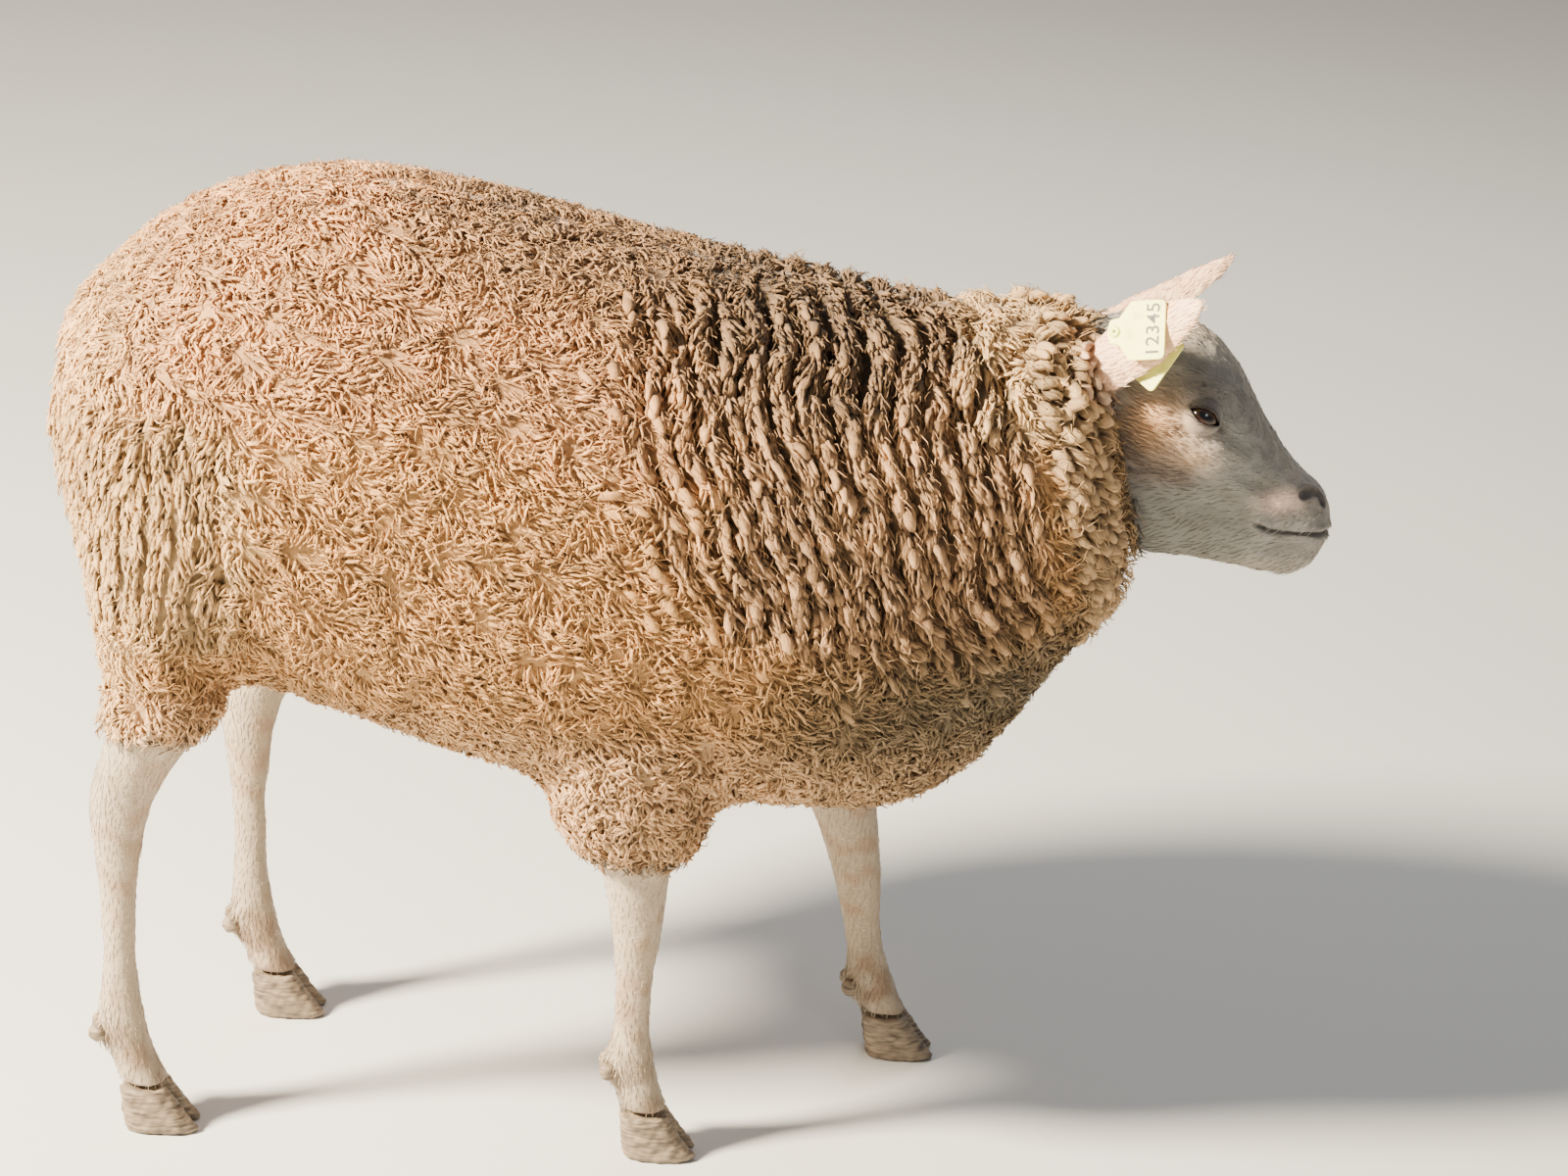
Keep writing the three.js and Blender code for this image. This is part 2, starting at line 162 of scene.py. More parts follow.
def trace(points, line):
    """Distance from each point to a drawn line; a line given in X and Z runs right across the animal."""
    flat = points[:, [0, 2]] if len(line[0]) == 2 else mirrored(points)
    nearest = np.full(len(points), 1e9)
    for a, b in zip(np.array(line[:-1], float), np.array(line[1:], float)):
        t = np.clip((flat - a) @ (b - a) / ((b - a) @ (b - a)), 0, 1)
        nearest = np.minimum(nearest, np.linalg.norm(flat - a - t[:, None] * (b - a), axis=1))
    return nearest


def hill(points, where, width, height):
    """A rounded rise, the same on both sides: round a place, with widths along X, Y and Z, or along a line."""
    if isinstance(where, list):
        return height * np.exp(-((trace(points, where) / width) ** 2))
    return height * np.exp(-(((mirrored(points) - np.array(where)) / np.array(width)) ** 2).sum(1))


def settle(obj):
    """Applies the object's modifiers to its mesh."""
    done = bpy.data.meshes.new_from_object(obj.evaluated_get(bpy.context.evaluated_depsgraph_get()))
    obj.modifiers.clear()
    obj.data = done
    return obj


def clay(name, nodes, grain, lumps=()):
    """The named solids, and lumps given as place, size and tilt, as one closed skin of even small faces."""
    shape = bmesh.new()
    for node in nodes:
        shape.from_mesh(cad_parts[node].data)
    for place, size, tilt in lumps:
        turn = Matrix.Translation(place) @ Matrix.Rotation(tilt, 4, "Y") @ Matrix.Diagonal((*size, 1))
        bmesh.ops.create_icosphere(shape, subdivisions=4, radius=1, matrix=turn)
    bmesh.ops.remove_doubles(shape, verts=shape.verts, dist=1e-6)
    obj = formed(name, shape)
    remesh = obj.modifiers.new("remesh", "REMESH")
    remesh.mode = "VOXEL"
    remesh.voxel_size = grain
    return settle(obj)


def places(mesh):
    co = np.empty(len(mesh.vertices) * 3)
    mesh.vertices.foreach_get("co", co)
    return co.reshape(-1, 3)


def facing(mesh):
    normals = np.empty(len(mesh.vertices) * 3)
    mesh.vertex_normals.foreach_get("vector", normals)
    return normals.reshape(-1, 3)


def put(mesh, points):
    mesh.vertices.foreach_set("co", points.astype(np.float32).ravel())
    mesh.update()


def sink(mesh, depth):
    """Moves the surface inwards by a depth, the same all over or one for each vertex."""
    put(mesh, places(mesh) - facing(mesh) * (depth * np.ones(len(mesh.vertices)))[:, None])


def rub(mesh, passes):
    """Smooths the mesh: each pass moves every vertex half way to the middle of its neighbours."""
    ends = np.empty(len(mesh.edges) * 2, np.int64)
    mesh.edges.foreach_get("vertices", ends)
    a, b = ends.reshape(-1, 2).T
    count = len(mesh.vertices)
    degree = np.bincount(a, minlength=count) + np.bincount(b, minlength=count)
    points = places(mesh)
    for _ in range(passes):
        pulled = np.empty_like(points)
        for k in range(3):
            pulled[:, k] = np.bincount(a, points[b, k], count) + np.bincount(b, points[a, k], count)
        points += (pulled / degree[:, None] - points) * 0.5
    put(mesh, points)


# Where each kind of wool grows, and the furrows and folds between its locks.
def ripple(points, size, seed):
    """Smooth random waves about as long as size, of spread one."""
    dice = np.random.default_rng(seed)
    total = np.zeros(len(points))
    for _ in range(10):
        way = dice.normal(size=3)
        way *= 2 * math.pi / (size * dice.uniform(0.7, 1.6) * np.linalg.norm(way))
        total += np.sin(points @ way + dice.uniform(0, 2 * math.pi))
    return total / 2.24


def beyond_collar(points):
    """Distance in front of the slanting edge where the wool of the neck ends and the face begins."""
    return (points[:, 0] - 0.297) * 0.956 + (points[:, 2] - 0.660) * 0.294


def by_ear(points):
    """Distance from the middle line of the ear on that side; the left ear points further forward."""
    return np.where(points[:, 1] < 0, trace(points, EAR_LINE[-1]), trace(points, EAR_LINE[1]))


def wool_line(points):
    front = np.where(points[:, 1] < 0, WOOL_LINE["leg_front_right"], WOOL_LINE["leg_front_left"])
    return np.where(points[:, 0] > -0.27, front, WOOL_LINE["leg_hind_right"])


def woolly(points):
    """One where the fleece grows, zero on the face, ears and shanks."""
    above_shank = ramp(points[:, 2] - wool_line(points), -0.004, 0.006)
    bare_of_ear = np.maximum(ramp(by_ear(points), 0.024, 0.030), ramp(-points[:, 0], -0.282, -0.277))
    return above_shank * ramp(-beyond_collar(points), -0.006, 0.004) * bare_of_ear


def bounded(points, box, soft):
    """One inside a box given as (x0, x1, z0, z1), fading over soft metres."""
    x, z = points[:, 0], points[:, 2]
    return (
        ramp(x, box[0] - soft, box[0] + soft)
        * ramp(-x, -box[1] - soft, -box[1] + soft)
        * ramp(z, box[2] - soft, box[2] + soft)
        * ramp(-z, -box[3] - soft, -box[3] + soft)
    )


def roped(points):
    """The side of the neck and the shoulder, where the fleece hangs in ropes."""
    x, y, z = points.T
    wander = 0.015 * ripple(points, 0.11, 61) + 0.006 * ripple(points, 0.04, 62)
    rear = ramp(x + 0.12 * (z - 0.5) + wander, -0.085, 0.045)
    front = ramp(-x - 0.30 * (z - 0.5), -0.300, -0.255) * ramp(-x + 0.9 * np.abs(y), -0.19, -0.14)
    return rear * front * ramp(z - 0.25 * np.abs(x - 0.19) + wander, 0.395, 0.470) * ramp(-z, -0.715, -0.675)


def fingered(points):
    """The back of the thigh, where the fleece hangs in long wavy fingers."""
    return bounded(points, (-0.60, -0.345, 0.44, 0.60), 0.025)


def rope_count(points):
    """Counts the ropes from back to front, 20.5 mm each: whole numbers fall in the furrows between them."""
    across = (points[:, 0] + 0.33 * points[:, 2]) / 0.0205
    return across + 0.28 * ripple(points, 0.14, 6) + 0.07 * ripple(points, 0.05, 7)


def finger_count(points):
    """Counts the fingers round the thigh, 14.5 mm each, in the same way."""
    around = np.arctan2(points[:, 1], -(points[:, 0] + 0.27)) * 0.19
    return around / 0.0145 + 0.25 * ripple(points, 0.10, 9)


def off_middle(count, points):
    """Distance from the middle line of the nearest rope or finger, from zero to a half."""
    return np.abs(count(points) % 1 - 0.5)


def curled(points):
    """The rolled rim of the collar, set with blunt curls."""
    ahead = beyond_collar(points)
    return ramp(ahead, -0.056, -0.046) * ramp(-ahead, -0.002, 0.004) * ramp(np.abs(points[:, 1]), 0.010, 0.024)


def crease(points):
    """How deep a place lies in a fold: the collar's top, and the flank between belly and thigh."""
    across = (points[:, 0] + 0.1 * points[:, 2]) / 0.031 + 0.3 * ripple(points, 0.12, 10)
    fold = np.exp(-(((across % 1 - 0.5) / 0.13) ** 2)) * bounded(points, (0.17, 0.36, 0.60, 0.80), 0.02)
    cleft = hill(points, [(-0.325, 0.165, 0.49), (-0.318, 0.15, 0.43), (-0.31, 0.12, 0.38)], 0.02, 1)
    return np.clip(fold * 0.7 + cleft * 0.45, 0, 1)


def parted(points):
    """One in the gaps between the ropes and between the fingers, zero on their crests."""
    rope = ramp(roped(points), 0.1, 0.95) * ramp(off_middle(rope_count, points), 0.22, 0.40)
    finger = ramp(fingered(points), 0.1, 0.6) * ramp(off_middle(finger_count, points), 0.24, 0.42) * 0.6
    return np.clip(rope + finger, 0, 1)


def furrow(points):
    return np.clip(parted(points) + crease(points), 0, 1)


# The barrel, neck and thighs, sunk by the fleece. The throat and poll carry on under the wool of the neck.
torso = clay("torso", ["trunk", "neck", "tail", *WOOL_LINE], TORSO_GRAIN)
rub(torso.data, 30)
sink(torso.data, FLEECE_DEPTH)
rub(torso.data, 4)
sink(torso.data, FURROW_DEPTH * furrow(places(torso.data)))
rub(torso.data, 1)
torso.modifiers.new("fewer", "DECIMATE").ratio = TORSO_KEPT
settle(torso)
core = clay("core", [], CORE_GRAIN, [((0.293, 0, 0.59), (0.085, 0.049, 0.088), 0.28)])

shanks, heels = [], []
for leg, line in WOOL_LINE.items():
    pair = [places(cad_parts[f"dewclaw_{leg[4:]}_{which}"].data).mean(0) for which in ("outer", "inner")]
    heels.append((pair[0] + pair[1]) / 2)
    heel_pad = (Vector(heels[-1] + (0.010, 0, 0.005)), (0.016, 0.019, 0.017), 0)
    shank = clay(leg + "_skin", [leg], SHANK_GRAIN, [heel_pad])
    rub(shank.data, 8)
    wool_share = ramp(places(shank.data)[:, 2], line - 0.005, line + 0.045)
    sink(shank.data, HAIR_DEPTH + (FLEECE_DEPTH - HAIR_DEPTH) * wool_share)
    rub(shank.data, 4)
    shanks.append(shank)

# The head and ears, sunk by the short hair, with the mesh made finer round the eyes, nostrils and mouth.
skin = clay("skin", ["head", "ear_right", "ear_left", "eye_right", "eye_left"], HEAD_GRAIN)
rub(skin.data, 9)
sink(skin.data, HAIR_DEPTH * np.where(by_ear(places(skin.data)) < 0.03, 0.6, 1))
ears = clay("ears", ["ear_right", "ear_left"], EAR_GRAIN)
rub(ears.data, 8)
points = places(ears.data)
waves = 0.0004 * ripple(points, 0.02, 75) + 0.0002 * ripple(points, 0.007, 76)
sink(ears.data, EAR_DEPTH - waves)

points = places(skin.data)
for k, (x, _, z) in enumerate(NOSTRIL):
    by = (np.hypot(points[:, 0] - x, points[:, 2] - z) < 0.003) & (points[:, 1] > 0)
    NOSTRIL[k] = (x, points[by, 1].max(), z)


def to_eye(points):
    return np.linalg.norm(mirrored(points) - EYE["centre"], axis=1)


for eye_reach, nostril_reach, mouth_reach, deepest in ((0.027, 0.013, 0.007, 0), (0.021, 0.007, 0, 0.044)):
    points = places(skin.data)
    near_eye = (to_eye(points) < eye_reach) & (np.abs(points[:, 1]) > deepest)
    near_mouth = (trace(points, MOUTH) < mouth_reach) & (points[:, 0] > MOUTH_CORNER)
    fine = near_eye | near_mouth | (trace(points, NOSTRIL) < nostril_reach)
    shape = bmesh.new()
    shape.from_mesh(skin.data)
    split = [e for e in shape.edges if fine[e.verts[0].index] and fine[e.verts[1].index]]
    bmesh.ops.subdivide_edges(shape, edges=split, cuts=1, use_grid_fill=True, smooth=0.6)
    shape.to_mesh(skin.data)
    shape.free()

points = places(skin.data)
swell = np.zeros(len(points))
for where, width, height in (
    ((0.382, 0.056, 0.6440), (0.020, 0.020, 0.009), 0.0035),  # brow
    ([(0.408, 0.052, 0.596), (0.370, 0.058, 0.597), (0.330, 0.056, 0.608)], 0.008, 0.0028),  # cheekbone
    ((0.4080, 0.046, 0.6010), (0.009, 0.020, 0.008), -0.0025),  # tear pit
    ((0.352, 0.055, 0.548), (0.030, 0.03, 0.032), 0.0040),  # cheek
    ((0.4000, 0.050, 0.545), (0.022, 0.03, 0.022), -0.0045),  # hollow before the cheek
    ((0.3400, 0.055, 0.652), (0.016, 0.03, 0.016), -0.0030),  # hollow behind the eye
    ([(0.3690, 0.040, 0.494), (0.42, 0.030, 0.490), (0.472, 0.02, 0.487)], 0.007, 0.0018),  # jaw bone
    ([(0.415, 0.048, 0.575), (0.455, 0.038, 0.560)], 0.006, -0.0016),  # groove along the muzzle
    ((0.4780, 0.026, 0.5480), (0.011, 0.012, 0.010), 0.0022),  # wing of the nose
):
    swell += hill(points, where, width, height)
nostril, lip = trace(points, NOSTRIL), trace(points, MOUTH)
swell += 0.0014 * np.exp(-(((nostril - 0.0055) / 0.0022) ** 2))
swell -= 0.0088 * np.exp(-((nostril / 0.0032) ** 2))
lips = 0.0016 * np.exp(-(((lip - 0.0045) / 0.0030) ** 2)) - 0.0032 * np.exp(-((lip / 0.0014) ** 2))
swell += ramp(points[:, 0], MOUTH_CORNER, 0.440) * lips
nose_cleft = 0.0018 * np.exp(-((points[:, 1] / 0.0018) ** 2)) * ramp(points[:, 0], 0.486, 0.494)
swell -= nose_cleft * ramp(points[:, 2], 0.522, 0.530)
swell -= 0.0012 * np.exp(-((points[:, 1] / 0.006) ** 2)) * ramp(points[:, 2], 0.66, 0.68)
skin_detail = 0.00025 * ripple(points, 0.012, 70) + 0.0003 * ripple(points, 0.045, 71)
sink(skin.data, -(swell + skin_detail))


def eye_axes(side):
    """An eye's centre, then the way along its slit, up across it, and out."""
    centre = Vector(EYE["centre"])
    out, along_slit = Vector(EYE["looks"]).normalized(), Vector(EYE["slit"])
    centre.y *= side
    out.y *= side
    along_slit = (along_slit - out * along_slit.dot(out)).normalized()
    over = out.cross(along_slit) * -side
    return [np.array(v) for v in (centre, along_slit, over, out)]


def lids(points, side):
    """Each place by an eye: along and over the slit, outward, and how far inside the opening, in metres."""
    centre, along_slit, over, out = eye_axes(side)
    near = points - centre
    a, b, c = near @ along_slit, near @ over, near @ out
    end = np.clip(np.abs(a) / LID_HALF, 0, 1)
    upper = LID_TOP * (1 - end**2.2) + 0.0006 * a / LID_HALF
    lower = LID_BOTTOM * (1 - end**2.0)
    opened = np.minimum(upper - b, b - lower)
    return a, b, c, np.where(np.abs(a) < LID_HALF, opened, -np.abs(np.abs(a) - LID_HALF) - np.abs(b) * 0.5)


points = places(skin.data)
for side in (1, -1):
    out = eye_axes(side)[3]
    a, b, c, opened = lids(points, side)
    flat = a**2 + b**2
    near = (c > -0.002) & (flat < 0.024**2)
    dome = np.sqrt(np.maximum(LID_DOME**2 - flat, 0))
    upper_fold = np.exp(-(((b - 0.0112 + 0.15 * a + 14 * a**2) / 0.0011) ** 2)) * (np.abs(a) < 0.014)
    lower_fold = np.exp(-(((b + 0.0098 - 10 * a**2) / 0.0012) ** 2)) * (np.abs(a) < 0.012)
    lid_rim = np.exp(-(((opened + 0.0010) / 0.0009) ** 2))
    dome = dome - 0.0013 * upper_fold - 0.0006 * lower_fold + 0.0007 * lid_rim
    mixed = np.clip(0.5 + 0.5 * (dome - c) / LID_BLEND, 0, 1)
    raised = dome * mixed + c * (1 - mixed) + LID_BLEND * mixed * (1 - mixed)
    hollow = np.sqrt(np.maximum(EYE_HOLLOW**2 - flat, 0))
    within = ramp(opened, -0.0002, 0.0007)
    final = raised * (1 - within) + hollow * within
    points = points + np.where(near, final - c, 0)[:, None] * out
put(skin.data, points)

for other in [ears, core, torso] + shanks:
    join = skin.modifiers.new("join", "BOOLEAN")
    join.operation = "UNION"
    join.solver = "MANIFOLD"
    join.object = other
settle(skin)
for other in [ears, core, torso] + shanks:
    bpy.data.objects.remove(other)
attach(skin, "root")
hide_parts("head", "ear_right", "ear_left", "neck", "trunk", "tail", *WOOL_LINE)


# The markings, given to skin and coat alike: golden tan flanks, a pinker back with a brown stain behind the
# withers, earthy ropes on the neck, a pale rump, a white-grey face with a tan cheek, and cream shanks. Painted
# shade darkens the face, jaw, brow, the skin round the eyes, the brisket and the shanks; painted sunlight
# brightens the cheek, the pink lip, the top of the neck and the collar's curls.
def srgb(*values):
    return np.array([((v / 255 + 0.055) / 1.055) ** 2.4 for v in values])


def wool_colour(points, blotch, fleck):
    x, z = points[:, 0], points[:, 2]
    drop = np.interp(x, [-0.5, -0.4, -0.2, 0, 0.1, 0.3], [0.6, 0.72, 0.76, 0.70, 0.67, 0.70]) - z
    stain = ramp(-drop, -0.06, -0.01) * bounded(points, (-0.2, 0.16, 0, 1), 0.05)
    zones = (
        (np.full(len(x), 0.12), srgb(240, 181, 112)),  # flank
        (ramp(-drop, -0.16, -0.03) * ramp(-x, -0.02, 0.06), srgb(238, 178, 120)),  # back
        (2 * stain, srgb(150, 116, 78)),
        (0.5 * roped(points) ** 3, srgb(214, 168, 122)),
        (1.5 * bounded(points, (0.20, 0.36, 0.62, 0.75), 0.02), srgb(250, 208, 150)),  # top of the neck, brightened with painted sunlight
        # the collar's curls, brightened with painted sunlight
        (2 * curled(points), srgb(250, 206, 150)),
        (fingered(points), srgb(248, 202, 140)),
        (ramp(-x, 0.40, 0.46), srgb(248, 204, 142)),  # rump
        (ramp(-z, -0.40, -0.32), srgb(238, 190, 138)),  # legs
        (ramp(x, 0.02, 0.26) * ramp(-z, -0.50, -0.37), srgb(122, 112, 88)),  # painted shade on the brisket
    )
    weight = sum(w for w, _ in zones)[:, None]
    wool = sum(w[:, None] * c for w, c in zones) / weight
    wool = wool * (0.94 + 0.07 * blotch + 0.09 * fleck)[:, None]
    return wool / np.maximum(wool.max(1) / 0.92, 1)[:, None]


def face_colour(points, blotch, fleck):
    """The face, ears and shanks: each layer covers what lies under it by its share."""
    x, z = points[:, 0], points[:, 2]
    in_ear = ramp(-by_ear(points), -0.034, -0.026)
    tear_line = [(0.396, 0.055, 0.6130), (0.4045, 0.05, 0.6040), (0.4060, 0.045, 0.5945)]
    layers = [
        (0.7 * ramp(-np.abs(points[:, 1]), -0.034, -0.018) * ramp(x, 0.36, 0.40), srgb(162, 150, 132)),  # bridge
        (0.6 * ramp(-z, -0.585, -0.53) * ramp(-x, -0.45, -0.41), srgb(104, 105, 99)),  # painted shade on the jaw
        (0.5 * ramp(-fleck - blotch, 0.2, 1.6), srgb(122, 118, 110)),
        (hill(points, (0.348, 0.058, 0.614), (0.026, 0.04, 0.026), 1.0), srgb(224, 180, 134)),  # tan cheek, brightened with painted sunlight
        # paler hair on the cheekbone, brightened with painted sunlight
        (hill(points, (0.376, 0.058, 0.590), (0.018, 0.04, 0.012), 0.7), srgb(214, 178, 144)),
        (hill(points, [(0.322, 0.600), (0.340, 0.580), (0.372, 0.573)], 0.009, 0.75), srgb(112, 96, 84)),
        (hill(points, (0.385, 0.060, 0.6430), (0.024, 0.02, 0.010), 0.75), srgb(92, 86, 82)),  # painted shadow under the brow
        (hill(points, (0.3825, 0.0525, 0.6220), (0.019, 0.03, 0.016), 0.75), srgb(98, 91, 86)),  # painted shade round the eye
        (hill(points, (0.360, 0.0, 0.690), (0.030, 0.034, 0.022), 0.7), srgb(196, 164, 132)),  # poll
        (0.45 * ramp(x, 0.44, 0.475), srgb(138, 133, 129)),  # muzzle
        (hill(points, (0.4550, 0.036, 0.5530), (0.016, 0.03, 0.0075), 1.15), srgb(236, 204, 186)),  # pink lip, brightened with painted sunlight
        (hill(points, NOSTRIL, 0.0062, 0.85), srgb(30, 26, 26)),
        (hill(points, MOUTH, 0.0022, 0.75) * ramp(x, MOUTH_CORNER, 0.440), srgb(58, 50, 48)),
        (hill(points, tear_line, 0.0032, 0.9), srgb(48, 42, 40)),
        (hill(points, [(0.3740, 0.6565), (0.3752, 0.6560)], 0.0020, 0.8) * ramp(-z, -0.70, -0.6), srgb(52, 44, 42)),
        (hill(points, [(0.3795, 0.6480), (0.3805, 0.6470)], 0.0013, 0.7), srgb(52, 44, 42)),  # marks over the eye
        (in_ear, srgb(250, 208, 172)),
        (0.5 * in_ear * ramp(fleck, 0.3, 1.6), srgb(226, 168, 138)),
        (ramp(-z, -0.40, -0.37), srgb(176, 160, 138)),  # shanks: cream, darkened with painted shade
        (0.6 * ramp(-z, -0.40, -0.30) * ramp(blotch + fleck, 0, 2), srgb(146, 116, 92)),
        (0.7 * ramp(-z, -0.16, -0.03) * ramp(fleck, -1.5, 1), srgb(116, 96, 76)),  # muddy pasterns
    ]
    for side in (1, -1):
        near = np.flatnonzero((to_eye(points) < 0.022) & (points[:, 1] * side > 0))
        opened = np.full(len(x), -1.0)
        opened[near] = lids(points[near], side)[3]
        layers.append((0.92 * np.exp(-((np.minimum(opened - 0.0002, 0) / 0.0026) ** 2)), srgb(34, 28, 27)))
    # The ground colour: the face's white-grey, darkened with painted shade.
    face = np.tile(srgb(132, 130, 125), (len(x), 1))
    for share, colour in layers:
        face += (colour - face) * np.clip(share, 0, 1)[:, None]
    return face * (1 + 0.04 * fleck + 0.03 * blotch)[:, None]


def markings(points):
    blotch, fleck = ripple(points, 0.09, 1), ripple(points, 0.022, 2)
    share = woolly(points)[:, None]
    wool, face = wool_colour(points, blotch, fleck), face_colour(points, blotch, fleck)
    return np.clip(wool * share + face * (1 - share), 0.01, 0.95)


def mark(mesh, name, kind, values):
    """Gives each vertex a colour or a vector of its own."""
    field = {"FLOAT_COLOR": "color", "FLOAT_VECTOR": "vector"}[kind]
    mesh.attributes.new(name, kind, "POINT").data.foreach_set(field, values.astype(np.float32).ravel())


# Under the wool the skin is darkened to the brown of the roots, with painted shade among them that is darkest in
# the furrows.
spots = places(skin.data)
share = woolly(spots)[:, None]
tint = markings(spots) * (1 - share * (np.array((0.52, 0.50, 0.48)) + 0.38 * furrow(spots)[:, None]))
mark(skin.data, "tint", "FLOAT_COLOR", np.column_stack((tint, np.ones(len(tint)))))


def reckon(tree, kind, first, second=0, limit=False):
    """One step of arithmetic in a material."""
    return wire(tree, "Math", {0: first, 1: second}, operation=kind, use_clamp=limit).outputs["Value"]


def speckle(tree, vector, scale, detail=2):
    return wire(tree, "TexNoise", {"Vector": vector, "Scale": scale, "Detail": detail}).outputs["Fac"]


def bumped(tree, height, strength, distance):
    return wire(tree, "Bump", {"Strength": strength, "Distance": distance, "Height": height}).outputs["Normal"]


# Fine streaks along hair and wool: they vary the colour between two shades, darken it towards the root, partly
# for greasy roots and partly as painted shade down among the locks, and give a height.
fibres = bpy.data.node_groups.new("fibres", "ShaderNodeTree")
fibres.interface.new_socket("Vector", in_out="INPUT", socket_type="NodeSocketVector")
fibres.interface.new_socket("Colour", in_out="INPUT", socket_type="NodeSocketColor")
for socket in ("Along", "Root Shade", "Dark Streak", "Pale Streak", "Roughness", "Distortion"):
    fibres.interface.new_socket(socket, in_out="INPUT", socket_type="NodeSocketFloat")
fibres.interface.new_socket("Colour", in_out="OUTPUT", socket_type="NodeSocketColor")
fibres.interface.new_socket("Height", in_out="OUTPUT", socket_type="NodeSocketFloat")
given = fibres.nodes.new("NodeGroupInput").outputs
noise = {"Vector": given["Vector"], "Scale": 1, "Detail": 4}
noise |= {"Roughness": given["Roughness"], "Distortion": given["Distortion"]}
streak = wire(fibres, "TexNoise", noise).outputs["Fac"]
shade = {"Value": given["Along"], "From Min": 0.35, "From Max": 0.95, "To Min": given["Root Shade"]}
grain = {"Value": streak, "From Min": 0.3, "From Max": 0.7}
grain |= {"To Min": given["Dark Streak"], "To Max": given["Pale Streak"]}
shade, grain = (wire(fibres, "MapRange", inputs).outputs["Result"] for inputs in (shade, grain))
streaked = {0: given["Colour"], "Scale": reckon(fibres, "MULTIPLY", shade, grain)}
streaked = wire(fibres, "VectorMath", streaked, operation="SCALE").outputs["Vector"]
wire(fibres, fibres.nodes.new("NodeGroupOutput"), {"Colour": streaked, "Height": streak})

hide, tree, shader = blank("hide")
hue = wire(tree, "Attribute", attribute_name="tint").outputs
where = wire(tree, "TexCoord").outputs["Object"]
squash = {"Vector": where, "Rotation": (0, math.radians(-35), 0), "Scale": (180, 620, 620)}
inputs = {"Vector": wire(tree, "Mapping", squash).outputs["Vector"], "Colour": hue["Color"], "Along": 1}
inputs |= {"Root Shade": 1, "Dark Streak": 0.76, "Pale Streak": 1.16, "Roughness": 0.65, "Distortion": 0.4}
hairs = wire(tree, "Group", inputs, node_tree=fibres).outputs
height = reckon(tree, "ADD", hairs["Height"], speckle(tree, where, 260, 5))
relief = bumped(tree, height, 0.6, 0.0009)
wire(tree, shader, {"Base Color": hairs["Colour"], "Normal": relief, "Roughness": 0.78})
wire(tree, shader, {"Specular IOR Level": 0.3, "Sheen Weight": 0.2})
skin.data.materials.clear()
skin.data.materials.append(hide)
skin.data.shade_smooth()


# ---- Fleece ----------------------------------------------------------------------------------------------
# Greasy, weathered wool grows from the skin and mats together: thin wavy locks all over, knotted ropes on
# the neck and shoulder, blunt curls round the collar, and long fingers on the thigh.
def samples(density, share, seed):
    """Points strewn over the skin, with normals; share says how much of each place is kept."""
    dice = np.random.default_rng(seed)
    mesh = skin.data
    mesh.calc_loop_triangles()
    corners = np.empty(len(mesh.loop_triangles) * 3, np.int32)
    mesh.loop_triangles.foreach_get("vertices", corners)
    corners = corners.reshape(-1, 3)
    co, normals = places(mesh), facing(mesh)
    a, b, c = (co[corners[:, k]] for k in range(3))
    area = np.linalg.norm(np.cross(b - a, c - a), axis=1) / 2
    amount = area * share((a + b + c) / 3)
    chosen = dice.choice(len(area), int(amount.sum() * density), p=amount / amount.sum())
    u, v = dice.random((2, len(chosen)))
    flip = u + v > 1
    u, v = np.where(flip, 1 - u, u)[:, None], np.where(flip, 1 - v, v)[:, None]
    a, b, c = corners[chosen].T
    points, normals = ((1 - u - v) * field[a] + u * field[b] + v * field[c] for field in (co, normals))
    return points, normals / np.linalg.norm(normals, axis=1)[:, None]


def spread(points, gap):
    """Indices of points no nearer to each other than their own gap."""
    tree = KDTree(len(points))
    for k, p in enumerate(points):
        tree.insert(p, k)
    tree.balance()
    alive = np.ones(len(points), bool)
    kept = []
    for k, p in enumerate(points):
        if alive[k]:
            kept.append(k)
            for _, other, _ in tree.find_range(p, gap[k]):
                alive[other] = False
    return np.array(kept)


def strewn(density, share, seed, gap, fits):
    """Roots of locks and their normals: samples that fit, at least a gap apart."""
    points, normals = samples(density, share, seed)
    pick = np.flatnonzero(fits(points, normals))
    pick = pick[spread(points[pick], np.full(len(pick), gap))]
    return points[pick], normals[pick]


def along(normals, way):
    flat = way - normals * (way * normals).sum(1)[:, None]
    return flat / np.maximum(np.linalg.norm(flat, axis=1), 1e-6)[:, None]


def turn_of(up, side):
    """The angle round an axis, in turns from zero to one."""
    return np.arctan2(up, side) / (2 * math.pi) + 0.5


